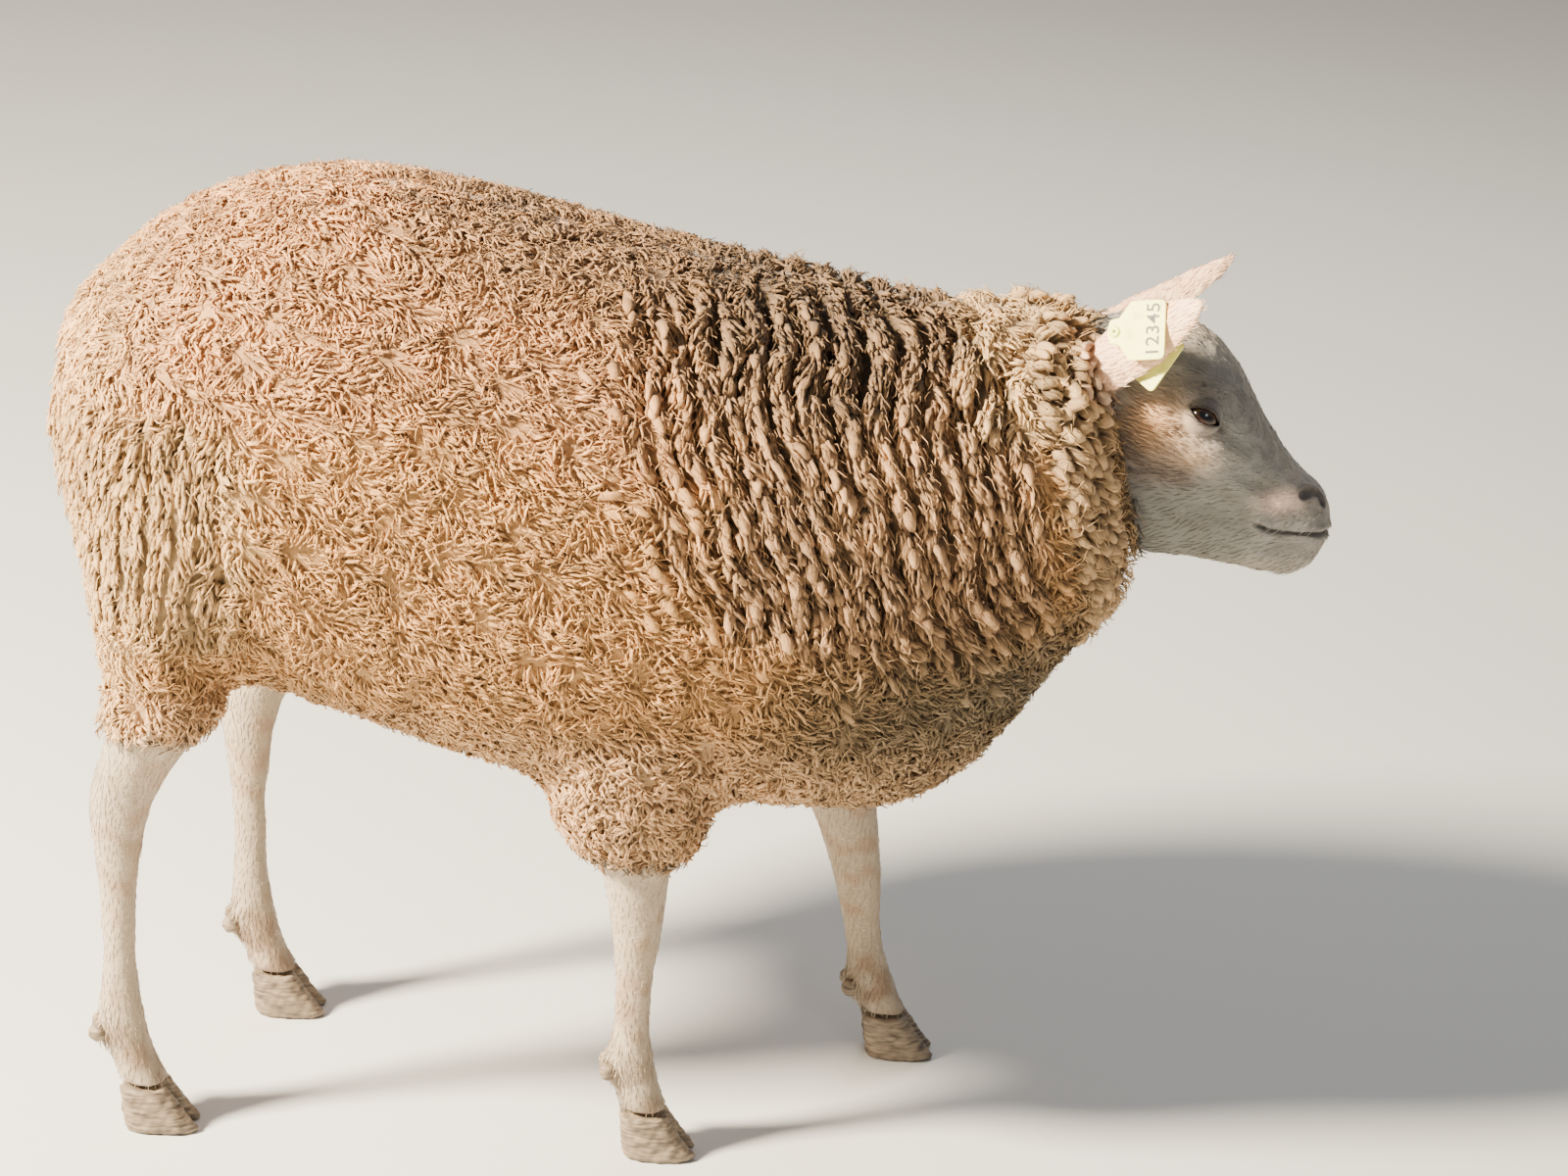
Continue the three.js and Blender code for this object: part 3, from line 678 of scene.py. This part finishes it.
def unwrapped(points):
    """The skin laid flat: the barrel unrolled at the bottom, the head and ears above it, the legs on top."""
    x, y, z = points.T
    flat = np.column_stack((turn_of(y, z - 0.52), 0.02 + (x + 0.5) * 0.74))
    head_flat = np.column_stack((turn_of(y, z - 0.585) * 0.62, 0.625 + (x - 0.28) * 0.66))
    flat = np.where((beyond_collar(points) > -0.004)[:, None], head_flat, flat)
    for side, (base, tip) in EAR_LINE.items():
        base, tip = np.array(base) * (1, side, 1), np.array(tip) * (1, side, 1)
        up = (points - base) @ (tip - base) / np.linalg.norm(tip - base)
        turned = turn_of(*((points - base) @ np.array(((0.74, 0.65, -0.18), (0.31, -0.57, -0.76))).T).T)
        ear_flat = np.column_stack((0.73 + 0.09 * side + 0.15 * (turned - 0.5), 0.63 + np.clip(up, 0, 0.17) * 0.75))
        flat = np.where(((by_ear(points) < 0.03) & (y * side > 0))[:, None], ear_flat, flat)
    front = x > -0.15
    shank = turn_of(np.abs(y) - 0.11, x - np.where(front, 0.1, -0.34))
    column = np.column_stack((np.where(front, 0.5, 0) + np.where(y > 0, 0.25, 0) + shank * 0.24, 0.78 + z * 0.5))
    return np.where((z < wool_line(points) + 0.02)[:, None], column, flat)


def shells(get, root, out, way, dice, rings, sides):
    """The vertices of the locks, in rings from root to tip, and the place of each ring along its lock."""
    n = len(root)
    side = np.cross(out, way)
    t = (1 - (1 - np.linspace(0, 1, rings + 1)) ** 1.45)[None]
    phase = dice.random((n, 1)) * 2 * math.pi
    swing = 2 * math.pi * get["turns"] * t + phase
    height = get["rise"] * (1 - (1 - t) ** get["bend"]) - get["bury"] * (1 - t) - get["droop"] * t**4
    height = height + get["sway"] * 0.6 * np.cos(swing) * t
    forward = get["run"] * t ** (1 + 1.1 / get["bend"])
    across = get["sway"] * np.sin(swing) * t
    line = root + out * height[..., None] + way * forward[..., None] + side * across[..., None]
    line = line + out * get["lift"][..., None]
    tangent = np.gradient(line, axis=1)
    tangent /= np.linalg.norm(tangent, axis=2)[..., None]
    roll = get["roll"] + 0 * t
    lid = np.cross(tangent, side)
    lid /= np.linalg.norm(lid, axis=2)[..., None]
    wide = np.cross(lid, tangent)
    wide, lid = (
        wide * np.cos(roll)[..., None] + lid * np.sin(roll)[..., None],
        lid * np.cos(roll)[..., None] - wide * np.sin(roll)[..., None],
    )
    grown, close = np.clip(t / 0.5, 0, 1), np.clip((t - 0.5) / 0.5, 0, 1)
    blunt, sharp = np.sqrt(np.maximum(1 - close**2, 0)), (1 - close) ** 0.8
    full = (0.5 + 0.5 * grown * (2 - grown)) * (blunt * (1 - get["point"]) + sharp * get["point"])
    full = full[:, :rings, None]
    angle = np.arange(sides) * 2 * math.pi / sides + (get["twist"] * t[:, :rings])[..., None]
    ragged = dice.normal(size=(n, 1, sides))[..., np.minimum(np.arange(sides), -np.arange(sides) % sides)]
    ragged = ragged * (get["jag"] * t[:, :rings] ** 3)[..., None]
    flute = 1 + get["ridge"][..., None] * np.where(np.arange(sides) % 2, 1, -1)
    flute = flute * (1 + get["ridge"][..., None] * 0.8 * dice.normal(size=(n, rings, sides)))
    shell = (
        line[:, :rings, None]
        + wide[:, :rings, None] * (get["width"][..., None] * full * flute * np.cos(angle))[..., None]
        + lid[:, :rings, None] * (get["thick"][..., None] * full * flute * np.sin(angle))[..., None]
        + tangent[:, :rings, None] * ragged[..., None]
    )
    return np.concatenate((shell.reshape(n, -1, 3), line[:, rings:]), axis=1), t[0, :rings]


def lock_faces(rings, sides):
    """The corners of one closed lock's faces, and how many corners each face has."""
    ring = np.arange(rings - 1)[:, None] * sides
    j = np.arange(sides)
    k = (j + 1) % sides
    last = (rings - 1) * sides
    quads = np.stack((ring + j, ring + k, ring + sides + k, ring + sides + j), -1).reshape(-1)
    tip = np.stack((last + j, last + k, np.full(sides, rings * sides)), -1).reshape(-1)
    sizes = np.concatenate((np.full((rings - 1) * sides, 4), [sides], np.full(sides, 3)))
    return np.concatenate((quads, j[::-1], tip)), sizes


PIECE_TRIANGLES = 190000
PATCH = 0.003


def grow(name, roots, normals, way, size, lightness, paint, rings, sides, seed):
    """Closed tapering locks in pieces of under 200,000 triangles. Each rises from its root and bends over to
    lie along its way; size gives every lock's width, thickness, rise, run and so on in metres and turns."""
    dice = np.random.default_rng(seed)
    lie, tint = along(normals, way), markings(roots) * lightness[:, None]
    usual = {"pale": 0, "lift": 0, "jag": 0, "twist": 0, "droop": 0, "roll": 0, "ridge": 0.1, "point": 0}
    size = usual | {"bury": 0.003, "bend": 2.2} | size
    order = np.argsort(roots[:, 0])
    triangles = len(roots) * (2 * sides * rings - 2)
    corners, corner_counts = lock_faces(rings, sides)
    pieces = []
    for part, pick in enumerate(np.array_split(order, math.ceil(triangles / PIECE_TRIANGLES))):
        n, count = len(pick), rings * sides + 1
        get = {key: (np.broadcast_to(value, len(roots))[pick])[:, None] for key, value in size.items()}
        root, out, way = roots[pick][:, None], normals[pick][:, None], lie[pick][:, None]
        points, t = shells(get, root, out, way, dice, rings, sides)
        loops = (corners[None] + (np.arange(n) * count)[:, None]).reshape(-1)
        sizes = np.tile(corner_counts, n)
        mesh = bpy.data.meshes.new(f"{name}_{part + 1}")
        mesh.vertices.add(n * count)
        mesh.vertices.foreach_set("co", points.astype(np.float32).ravel())
        mesh.loops.add(len(loops))
        mesh.loops.foreach_set("vertex_index", loops.astype(np.int32))
        mesh.polygons.add(len(sizes))
        mesh.polygons.foreach_set("loop_start", np.concatenate(([0], np.cumsum(sizes)[:-1])).astype(np.int32))
        mesh.update(calc_edges=True)
        mesh.shade_smooth()
        rise = np.concatenate((np.repeat(t, sides), [1]))
        turn = np.concatenate((np.tile(np.arange(sides) / sides, rings), [0.5]))
        colour = np.empty((n, count, 4), np.float32)
        colour[..., :3] = tint[pick][:, None]
        colour[..., 3] = get["pale"] + (1 - get["pale"]) * rise[None]
        mark(mesh, "tint", "FLOAT_COLOR", colour)
        fibre = np.empty((n, count, 3), np.float32)
        fibre[..., 0] = np.sin(2 * math.pi * turn)[None] * get["width"] * 1000
        fibre[..., 1] = rise[None] * (get["run"] + get["rise"]) * 1000
        fibre[..., 2] = np.cos(2 * math.pi * turn)[None] * get["width"] * 1000 + dice.random((n, 1)) * 900
        mark(mesh, "fibre", "FLOAT_VECTOR", fibre)
        patch = np.column_stack((turn, rise))[None] * PATCH + unwrapped(roots[pick])[:, None]
        uv = patch.reshape(-1, 2)[loops]
        mesh.uv_layers.new(name="OFBake").data.foreach_set("uv", uv.astype(np.float32).ravel())
        mesh.materials.append(paint)
        obj = piece(f"{name}_{part + 1}", mesh)
        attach(obj, "root")
        pieces.append(obj)
    return pieces


def wool_paint(name, root_shade, roughness, dark, light, relief):
    """Wool or hair: darker at the root, partly greasy roots and partly painted shade, streaked along its fibres."""
    paint, tree, shader = blank(name)
    tint = wire(tree, "Attribute", attribute_name="tint").outputs
    fibre = wire(tree, "Attribute", attribute_name="fibre").outputs["Vector"]
    stretch = wire(tree, "Mapping", {"Vector": fibre, "Scale": (0.5, 0.13, 0.5)}).outputs["Vector"]
    inputs = {"Vector": stretch, "Colour": tint["Color"], "Along": tint["Alpha"], "Root Shade": root_shade}
    inputs |= {"Dark Streak": dark, "Pale Streak": light, "Roughness": 0.7, "Distortion": 0.6}
    strands = wire(tree, "Group", inputs, node_tree=fibres).outputs
    normal = bumped(tree, strands["Height"], 0.8, relief)
    wire(tree, shader, {"Base Color": strands["Colour"], "Normal": normal, "Roughness": roughness})
    wire(tree, shader, {"Specular IOR Level": 0.25, "Sheen Weight": 0.1, "Sheen Roughness": 0.6})
    return paint


wool = wool_paint("wool", 0.28, 0.85, 0.62, 1.266, 0.0022)
dice = np.random.default_rng(11)


def swirl(points, size, amount, seed):
    return amount * np.column_stack([ripple(points, size, seed + k) for k in range(3)])


def lie_of(points, normals, loose, seed):
    """Outward from the spine, forward and down on the side, along the ropes and fingers, down the legs, and
    forward at the collar; each lock strays on its own only where that field has no clear way."""
    spine = ramp(normals[:, 2], 0.55, 0.95)[:, None]
    low = ramp(-points[:, 2], -0.42, -0.34)[:, None]
    rump = ramp(-points[:, 0], 0.30, 0.36)[:, None]
    collar = (ramp(beyond_collar(points), -0.070, -0.03) * ramp(-normals[:, 0], -0.8, -0.5))[:, None]
    across = np.column_stack((0 * points[:, 0] - 0.2, np.sign(points[:, 1]), 0 * points[:, 0] - 0.5))
    way = np.array((0.85, 0, -0.5)) * (1 - spine) + across * spine
    way = way * (1 - low * 0.7) + np.array((0.2, 0, -1.0)) * low * 0.7
    way = way * (1 - rump) + np.array((0.05, 0, -1.0)) * rump
    for share, count in ((roped(points), rope_count), (fingered(points), finger_count)):
        slope = np.column_stack([count(points + step) - count(points) for step in np.eye(3) * 0.001])
        line = np.cross(normals, slope)
        line *= (-np.sign(line[:, 2]) / np.maximum(np.linalg.norm(line, axis=1), 1e-9))[:, None]
        share = np.minimum(share * 1.6, 1)[:, None]
        way = way * (1 - share) + line * share
    way = way * (1 - collar) + np.array((1.0, 0, -0.25)) * collar
    strict = np.clip(roped(points) + fingered(points), 0, 1)[:, None]
    way = way + swirl(points, 0.03, loose, seed) * (1 - 0.75 * strict)
    flat = way - normals * (way * normals).sum(1)[:, None]
    strong = ramp(np.linalg.norm(flat, axis=1), 0.2, 0.9)[:, None]
    return way + np.random.default_rng(seed).normal(0, 0.6, points.shape) * (1 - strong) * (1 - strict)


# The mat itself: thin wavy locks whose tips tuck in again.
roots, normals = strewn(
    900000, woolly, 3, 0.0036, lambda p, n: (parted(p) < 0.16) & (crease(p) < 0.7) & (curled(p) < 0.5)
)
low = ramp(-roots[:, 2], -0.40, -0.33)
rope = np.clip(roped(roots) + fingered(roots), 0, 1)
count = len(roots)
big = dice.uniform(0.55, 1.6, count)
rise = 0.0060 + 0.0010 * ripple(roots, 0.022, 5) + dice.uniform(-0.001, 0.001, count)
size = dict(
    width=(0.0014 + 0.0006 * low + 0.0007 * rope) * big,
    thick=(0.0009 + 0.0005 * low + 0.0010 * rope) * big,
    rise=rise,
    run=(0.0155 - 0.001 * low) * dice.uniform(0.7, 1.4, count),
    sway=(0.0026 + 0.0006 * low) * (1 - 0.6 * rope),
    turns=dice.uniform(0.6, 1.4, count),
    point=dice.uniform(0.2, 0.9, count),
    droop=rise * dice.uniform(0.2, 0.95, count),
    bend=3.0,
    roll=dice.normal(0, 0.25, count),
    ridge=0.05,
    pale=0.5 * (1 - rope),
)
way = lie_of(roots, normals, 0.8, 20)
grow("fleece", roots, normals, way, size, dice.uniform(0.86, 1.12, count), wool, 3, 3, 12)

# Finer strands among the locks, some of them dark as painted shadow lines between the locks.
roots, normals = strewn(700000, woolly, 15, 0.0055, lambda p, n: (parted(p) < 0.22) & (crease(p) < 0.8))
low = ramp(-roots[:, 2], -0.40, -0.33)
upper = ramp(normals[:, 2], 0.2, 0.8)
count = len(roots)
size = dict(
    width=(0.0006 + 0.0005 * low) * dice.uniform(0.7, 1.4, count),
    thick=0.0005 + 0.0004 * low,
    lift=0.0050 * ramp(curled(roots), 0.2, 0.6) + 0.002 * roped(roots),
    rise=0.0080 + dice.uniform(-0.001, 0.0012, count),
    run=0.013 * dice.uniform(0.7, 1.4, count),
    sway=0.0022 + 0.0008 * low,
    turns=dice.uniform(0.7, 1.5, count),
    point=dice.uniform(0.3, 0.8, count),
    droop=dice.uniform(0, 0.006, count),
    bend=2.6,
    pale=0.4,
    ridge=0.05,
)
# A share of the strands, more on upward faces, is painted dark to stand for the shadow lines between locks.
painted_shadow_strand = dice.random(count) < 0.14 + 0.25 * upper
lightness = np.where(painted_shadow_strand, 0.4, dice.uniform(0.9, 1.2, count))
grow("strands", roots, normals, lie_of(roots, normals, 1.0, 50), size, lightness, wool, 3, 3, 16)

# The knots of the ropes on the neck and shoulder.
KNOT_REACH = 0.15
roots, normals = strewn(
    900000,
    lambda p: woolly(p) * roped(p),
    4,
    0.0080,
    lambda p, n: (off_middle(rope_count, p) < KNOT_REACH) & (np.abs(n[:, 1]) > 0.35) & (curled(p) < 0.3),
)
count = len(roots)
big = dice.uniform(0.75, 1.3, count)
size = dict(
    width=0.0040 * big,
    thick=0.0030 * big,
    rise=0.0055 + 0.0018 * ripple(roots, 0.03, 8) - 0.004 * (off_middle(rope_count, roots) / KNOT_REACH) ** 2,
    run=0.018 * dice.uniform(0.8, 1.3, count),
    sway=0.0018,
    turns=dice.uniform(0.4, 1.2, count),
    point=dice.uniform(0, 0.25, count),
    droop=dice.uniform(0.002, 0.006, count),
    roll=dice.uniform(-0.5, 0.5, count),
    ridge=0.14,
    pale=0.2,
    bend=2.2,
    twist=dice.normal(0, 0.8, count),
)
way = lie_of(roots, normals, 0.3, 30)
grow("knots", roots, normals, way, size, dice.uniform(0.88, 1.1, count), wool, 5, 8, 13)

# The blunt curls rolled forward round the rim of the collar.
roots, normals = strewn(900000, curled, 5, 0.0077, lambda p, n: (curled(p) > 0.35) & (n[:, 0] < 0.85))
count = len(roots)
big = dice.uniform(0.75, 1.3, count)
size = dict(
    width=0.0047 * big,
    thick=0.0038 * big,
    rise=0.0085 + 0.0015 * ripple(roots, 0.03, 9) + dice.uniform(-0.0015, 0.0015, count),
    run=0.0175 * dice.uniform(0.8, 1.25, count),
    sway=0.0020,
    turns=dice.uniform(0.4, 1.2, count),
    point=dice.uniform(0, 0.5, count),
    droop=0.005,
    roll=dice.uniform(-0.5, 0.5, count),
    ridge=0.15,
    bend=2.0,
    twist=dice.normal(0, 0.8, count),
)
way = np.array((0.75, 0, -0.55)) + swirl(roots, 0.03, 0.25, 90)
grow("curls", roots, normals, way, size, dice.uniform(0.88, 1.1, count), wool, 5, 8, 14)


# ---- Short hair ------------------------------------------------------------------------------------------
# Coarse white hair lies flat on the face, ears and shanks, longer on the cheek, poll and heel, where it
# stands out from the skin. It is grown like the wool but short and straight.
hair = wool_paint("hair", 0.96, 0.7, 0.90, 1.07, 0.0004)
CHEEK, POLL = (0.350, 0.058, 0.610), (0.350, 0, 0.690)
HEEL_SPREAD = (0.020, 0.024, 0.022)


def hair_way(points):
    """Back from the muzzle, down the cheek and shank, and out along the ears."""
    x, z = points[:, 0], points[:, 2]
    way = np.column_stack((0 * x - 1.0, 0 * x, 0.35 - 1.0 * ramp(-z, -0.60, -0.52)))
    on_head = ramp(z, 0.40, 0.42)[:, None]
    way = way * on_head + np.array((-0.1, 0, -1.0)) * (1 - on_head)
    ear = ramp(-by_ear(points), -0.034, -0.026)[:, None]
    out = np.column_stack((0 * x + 0.66, np.sign(points[:, 1]) * 0.5, 0 * x + 0.55))
    return way * (1 - ear) + out * ear + swirl(points, 0.02, 0.15, 60)


def at_heel(points):
    return sum(np.exp(-(((points - heel) / HEEL_SPREAD) ** 2).sum(1)) for heel in heels)


def bare(points):
    """Where short hair grows, thickest where it breaks the form."""
    keen = 0.30 + 1.5 * hill(points, CHEEK, (0.034, 0.04, 0.034), 1.0)
    keen += 1.2 * hill(points, (0.355, 0, 0.690), (0.035, 0.040, 0.020), 1.0)
    keen += 0.7 * ramp(-by_ear(points), -0.034, -0.02)
    keen += 0.6 * ramp(points[:, 2], 0.24, 0.27) * ramp(-points[:, 2], -0.40, -0.36)
    keen += 1.2 * at_heel(points)
    wet = (to_eye(points) < 0.0165) | (trace(points, NOSTRIL) < 0.0065)
    wet |= (trace(points, MOUTH) < 0.002) & (points[:, 0] > MOUTH_CORNER)
    return keen * (1 - woolly(points)) * ~wet


roots, normals = samples(260000, bare, 17)
pick = spread(roots, 0.0034 - 0.0010 * np.clip(bare(roots) - 0.5, 0, 1))
roots, normals = roots[pick], normals[pick]
count = len(roots)
long = at_heel(roots)
long = long + hill(roots, CHEEK, (0.032, 0.04, 0.032), 1.0) + hill(roots, POLL, (0.035, 0.04, 0.018), 1.0)
size = dict(
    width=0.00042 + 0.0004 * long,
    thick=0.00030 + 0.0003 * long,
    rise=(0.0005 + 0.0030 * long) * dice.uniform(0.7, 1.3, count),
    run=(0.0095 + 0.0045 * long) * dice.uniform(0.7, 1.3, count),
    sway=0.0003 + 0.0008 * long,
    turns=0.7,
    point=0.6,
    bury=0.0003,
    bend=2.0,
)
lightness = dice.uniform(0.98, 1.22, count)
for hairs in grow("hair", roots, normals, hair_way(roots), size, lightness, hair, 2, 3, 18):
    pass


# ---- Eyes ------------------------------------------------------------------------------------------------
# A wet dark-brown eyeball under each lid, with a level, long, rounded pupil and a clear bulging cornea.
# It rests in the hollow of the skin behind its lids.
PUPIL = {"X": 0.40, "Y": 0.17}
IRIS_EDGE = 0.62
BULGE = 0.045
wet, tree, shader = blank("eye")
gaze = wire(tree, "Attribute", attribute_name="gaze").outputs["Vector"]
apart = wire(tree, "SeparateXYZ", {"Vector": gaze}).outputs
squares = [reckon(tree, "POWER", apart[axis], 2) for axis in PUPIL]
from_middle = reckon(tree, "SQRT", reckon(tree, "ADD", *squares))
cubes = []
for axis, half in PUPIL.items():
    share = reckon(tree, "ABSOLUTE", reckon(tree, "DIVIDE", apart[axis], half))
    cubes.append(reckon(tree, "POWER", share, 3))
in_pupil = reckon(tree, "SUBTRACT", 1.15, reckon(tree, "ADD", *cubes))
in_pupil = reckon(tree, "MULTIPLY", in_pupil, 4, True)
in_rim = reckon(tree, "MULTIPLY", reckon(tree, "SUBTRACT", from_middle, IRIS_EDGE), 7, True)
seen = (*srgb(28, 17, 12), 1)
for share, colour in ((speckle(tree, gaze, 7, 4), (66, 40, 26)), (in_rim, (26, 18, 15)), (in_pupil, (6, 6, 8))):
    layer = {"Fac": share, "Color1": seen, "Color2": (*srgb(*colour), 1)}
    seen = wire(tree, "MixRGB", layer).outputs["Color"]
wire(tree, shader, {"Base Color": seen, "Roughness": 0.25, "Specular IOR Level": 0.1})
wire(tree, shader, {"Coat Weight": 1, "Coat Roughness": 0.03})
for side, node in ((1, "eye_left"), (-1, "eye_right")):
    centre, along_slit, over, out = eye_axes(side)
    shape = bmesh.new()
    bmesh.ops.create_uvsphere(shape, u_segments=48, v_segments=32, radius=1)
    eye = formed("eyeball_" + node[4:], shape)
    mesh = eye.data
    local = places(mesh)
    cornea = 1 + BULGE * ramp(local[:, 2], 0.62, 0.95)
    axes = np.array((along_slit, over * side, out))
    put(mesh, centre + (local * cornea[:, None] * EYE["radius"]) @ axes)
    if np.linalg.det(axes) < 0:
        mesh.flip_normals()
    mark(mesh, "gaze", "FLOAT_VECTOR", local)
    mesh.materials.append(wet)
    mesh.shade_smooth()
    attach(eye, "root")
    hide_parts(node)


# ---- Claws -----------------------------------------------------------------------------------------------
# Cloven horn: two claws and two dewclaws on each foot, ringed by growth and worn dull and muddy. They are
# raised from the solids and stand just clear of the floor.
RING_GAP, RING_DEPTH = 0.0042, 0.00022
LOWEST = 0.0002
claw_nodes = [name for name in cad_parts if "claw" in name]
claws = clay("claws", claw_nodes, 0.0017)
rub(claws.data, 4)
points = places(claws.data)
ringed = np.sin((points[:, 2] + 0.30 * points[:, 0]) * 2 * math.pi / RING_GAP + 1.2 * ripple(points, 0.02, 80))
points = points + facing(claws.data) * (RING_DEPTH * ringed + 0.0003 * ripple(points, 0.008, 81))[:, None]
points[:, 2] = np.maximum(points[:, 2], LOWEST)
put(claws.data, points)


def between(tree, share, low, high):
    """A colour that runs between two stops, each a place and a colour, as share rises."""
    mixed = wire(tree, "ValToRGB", {"Fac": share})
    for element, (place, colour) in zip(mixed.color_ramp.elements, (low, high)):
        element.position = place
        element.color = (*srgb(*colour), 1)
    return mixed.outputs["Color"]


horn, tree, shader = blank("horn")
where = wire(tree, "TexCoord").outputs["Object"]
squash = wire(tree, "Mapping", {"Vector": where, "Scale": (70, 70, 420)}).outputs["Vector"]
bands = speckle(tree, squash, 1, 4)
horny = between(tree, bands, (0.3, (74, 62, 52)), (0.72, (156, 138, 114)))
wire(tree, shader, {"Base Color": horny, "Normal": bumped(tree, bands, 0.5, 0.0006), "Roughness": 0.55})
claws.data.materials.clear()
claws.data.materials.append(horn)
claws.data.shade_smooth()
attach(claws, "root")
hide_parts(*claw_nodes)


# ---- Ear tag ---------------------------------------------------------------------------------------------
# A two-part tag of soft yellow plastic, moulded, its pin pushed through the near ear. The outer part bears
# a plain black number and a round pin head with a dimple, painted dark as painted shade in the hole.
EDGE_ROUND = 0.00035
TAG_OUT = Vector((-0.624, -0.713, 0.320)).normalized()
WIDE_EDGE = Vector((0.3387, -0.1029, 0.6853)), Vector((0.3382, -0.0882, 0.7170))
PIN_PLACE = Vector((0.3050, -0.0712, 0.6893))
PIN_OUTLINE = (
    [(0.0, 0.0007), (0.0011, 0.0007), (0.0013, 0.0016), (0.0022, 0.0019)]
    + [(0.0038, 0.0017), (0.0046, 0.0010), (0.0048, 0.0), (0.0, 0.0)]
)
DIMPLE = 0.0014
plastic, tree, shader = blank("tag")
where = wire(tree, "TexCoord").outputs["Object"]
grime = speckle(tree, where, 90, 5)
yellow = between(tree, grime, (0.28, (206, 202, 98)), (0.5, (244, 246, 126)))
wire(tree, shader, {"Base Color": yellow, "Normal": bumped(tree, grime, 0.2, 0.0003), "Roughness": 0.42})
ink_and_dimple_shade, tree, shader = blank("print_and_dimple_shade")
where = wire(tree, "TexCoord").outputs["Object"]
faded = between(tree, speckle(tree, where, 400), (0, (22, 22, 24)), (1, (62, 62, 54)))
wire(tree, shader, {"Base Color": faded, "Roughness": 0.5})

for node in ("tag_outer", "tag_inner"):
    shape = bmesh.new()
    shape.from_mesh(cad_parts[node].data)
    bmesh.ops.remove_doubles(shape, verts=shape.verts, dist=1e-6)
    bmesh.ops.dissolve_limit(shape, angle_limit=0.02, verts=shape.verts, edges=shape.edges)
    sharp = [e for e in shape.edges if len(e.link_faces) == 2 and e.calc_face_angle(0) > 0.9]
    bmesh.ops.bevel(
        shape, geom=sharp, offset=EDGE_ROUND, segments=2, affect="EDGES", profile=0.5, material=-1
    )
    bmesh.ops.triangulate(shape, faces=[f for f in shape.faces if len(f.verts) > 4])
    tag = formed(node.replace("tag_", "tag_panel_"), shape)
    tag.data.materials.append(plastic)
    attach(tag, "root")
    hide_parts(node)

reading = (WIDE_EDGE[1] - WIDE_EDGE[0]).normalized()
tops = TAG_OUT.cross(reading).normalized()
turn = Matrix((reading, tops, TAG_OUT)).transposed().to_4x4()
letters = bpy.data.curves.new("number", "FONT")
letters.body = "12345"
letters.size = 0.0160
letters.offset = 0.00012
letters.extrude = 0.00012
letters.align_x = "CENTER"
letters.space_character = 1.05
typed = bpy.data.objects.new("number_shape", letters)
number = piece("tag_number", bpy.data.meshes.new_from_object(typed))
bpy.data.objects.remove(typed)
number_place = (WIDE_EDGE[0] + WIDE_EDGE[1]) / 2 + tops * 0.0050 + TAG_OUT * 0.00008
number.data.transform(Matrix.Translation(number_place) @ turn)
number.data.materials.clear()
number.data.materials.append(ink_and_dimple_shade)
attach(number, "root")

shape = bmesh.new()
ring = [shape.verts.new((radius, 0, height)) for radius, height in PIN_OUTLINE]
edges = [shape.edges.new((a, b)) for a, b in zip(ring, ring[1:] + ring[:1])]
bmesh.ops.spin(
    shape, geom=ring + edges, axis=(0, 0, 1), cent=(0, 0, 0), steps=32, angle=2 * math.pi, use_merge=True
)
bmesh.ops.remove_doubles(shape, verts=shape.verts, dist=1e-6)
bmesh.ops.dissolve_degenerate(shape, edges=shape.edges, dist=1e-7)
bmesh.ops.recalc_face_normals(shape, faces=shape.faces)
pin_head = formed("tag_pin_head", shape)
pin_head.data.transform(Matrix.Translation(PIN_PLACE + TAG_OUT * 0.0001) @ turn)
pin_head.data.materials.append(plastic)
pin_head.data.materials.append(ink_and_dimple_shade)
# The faces in the dimple take the dark print material as painted shade.
for face in pin_head.data.polygons:
    face.material_index = int((face.center - PIN_PLACE).length < DIMPLE)
pin_head.data.shade_smooth()
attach(pin_head, "root")
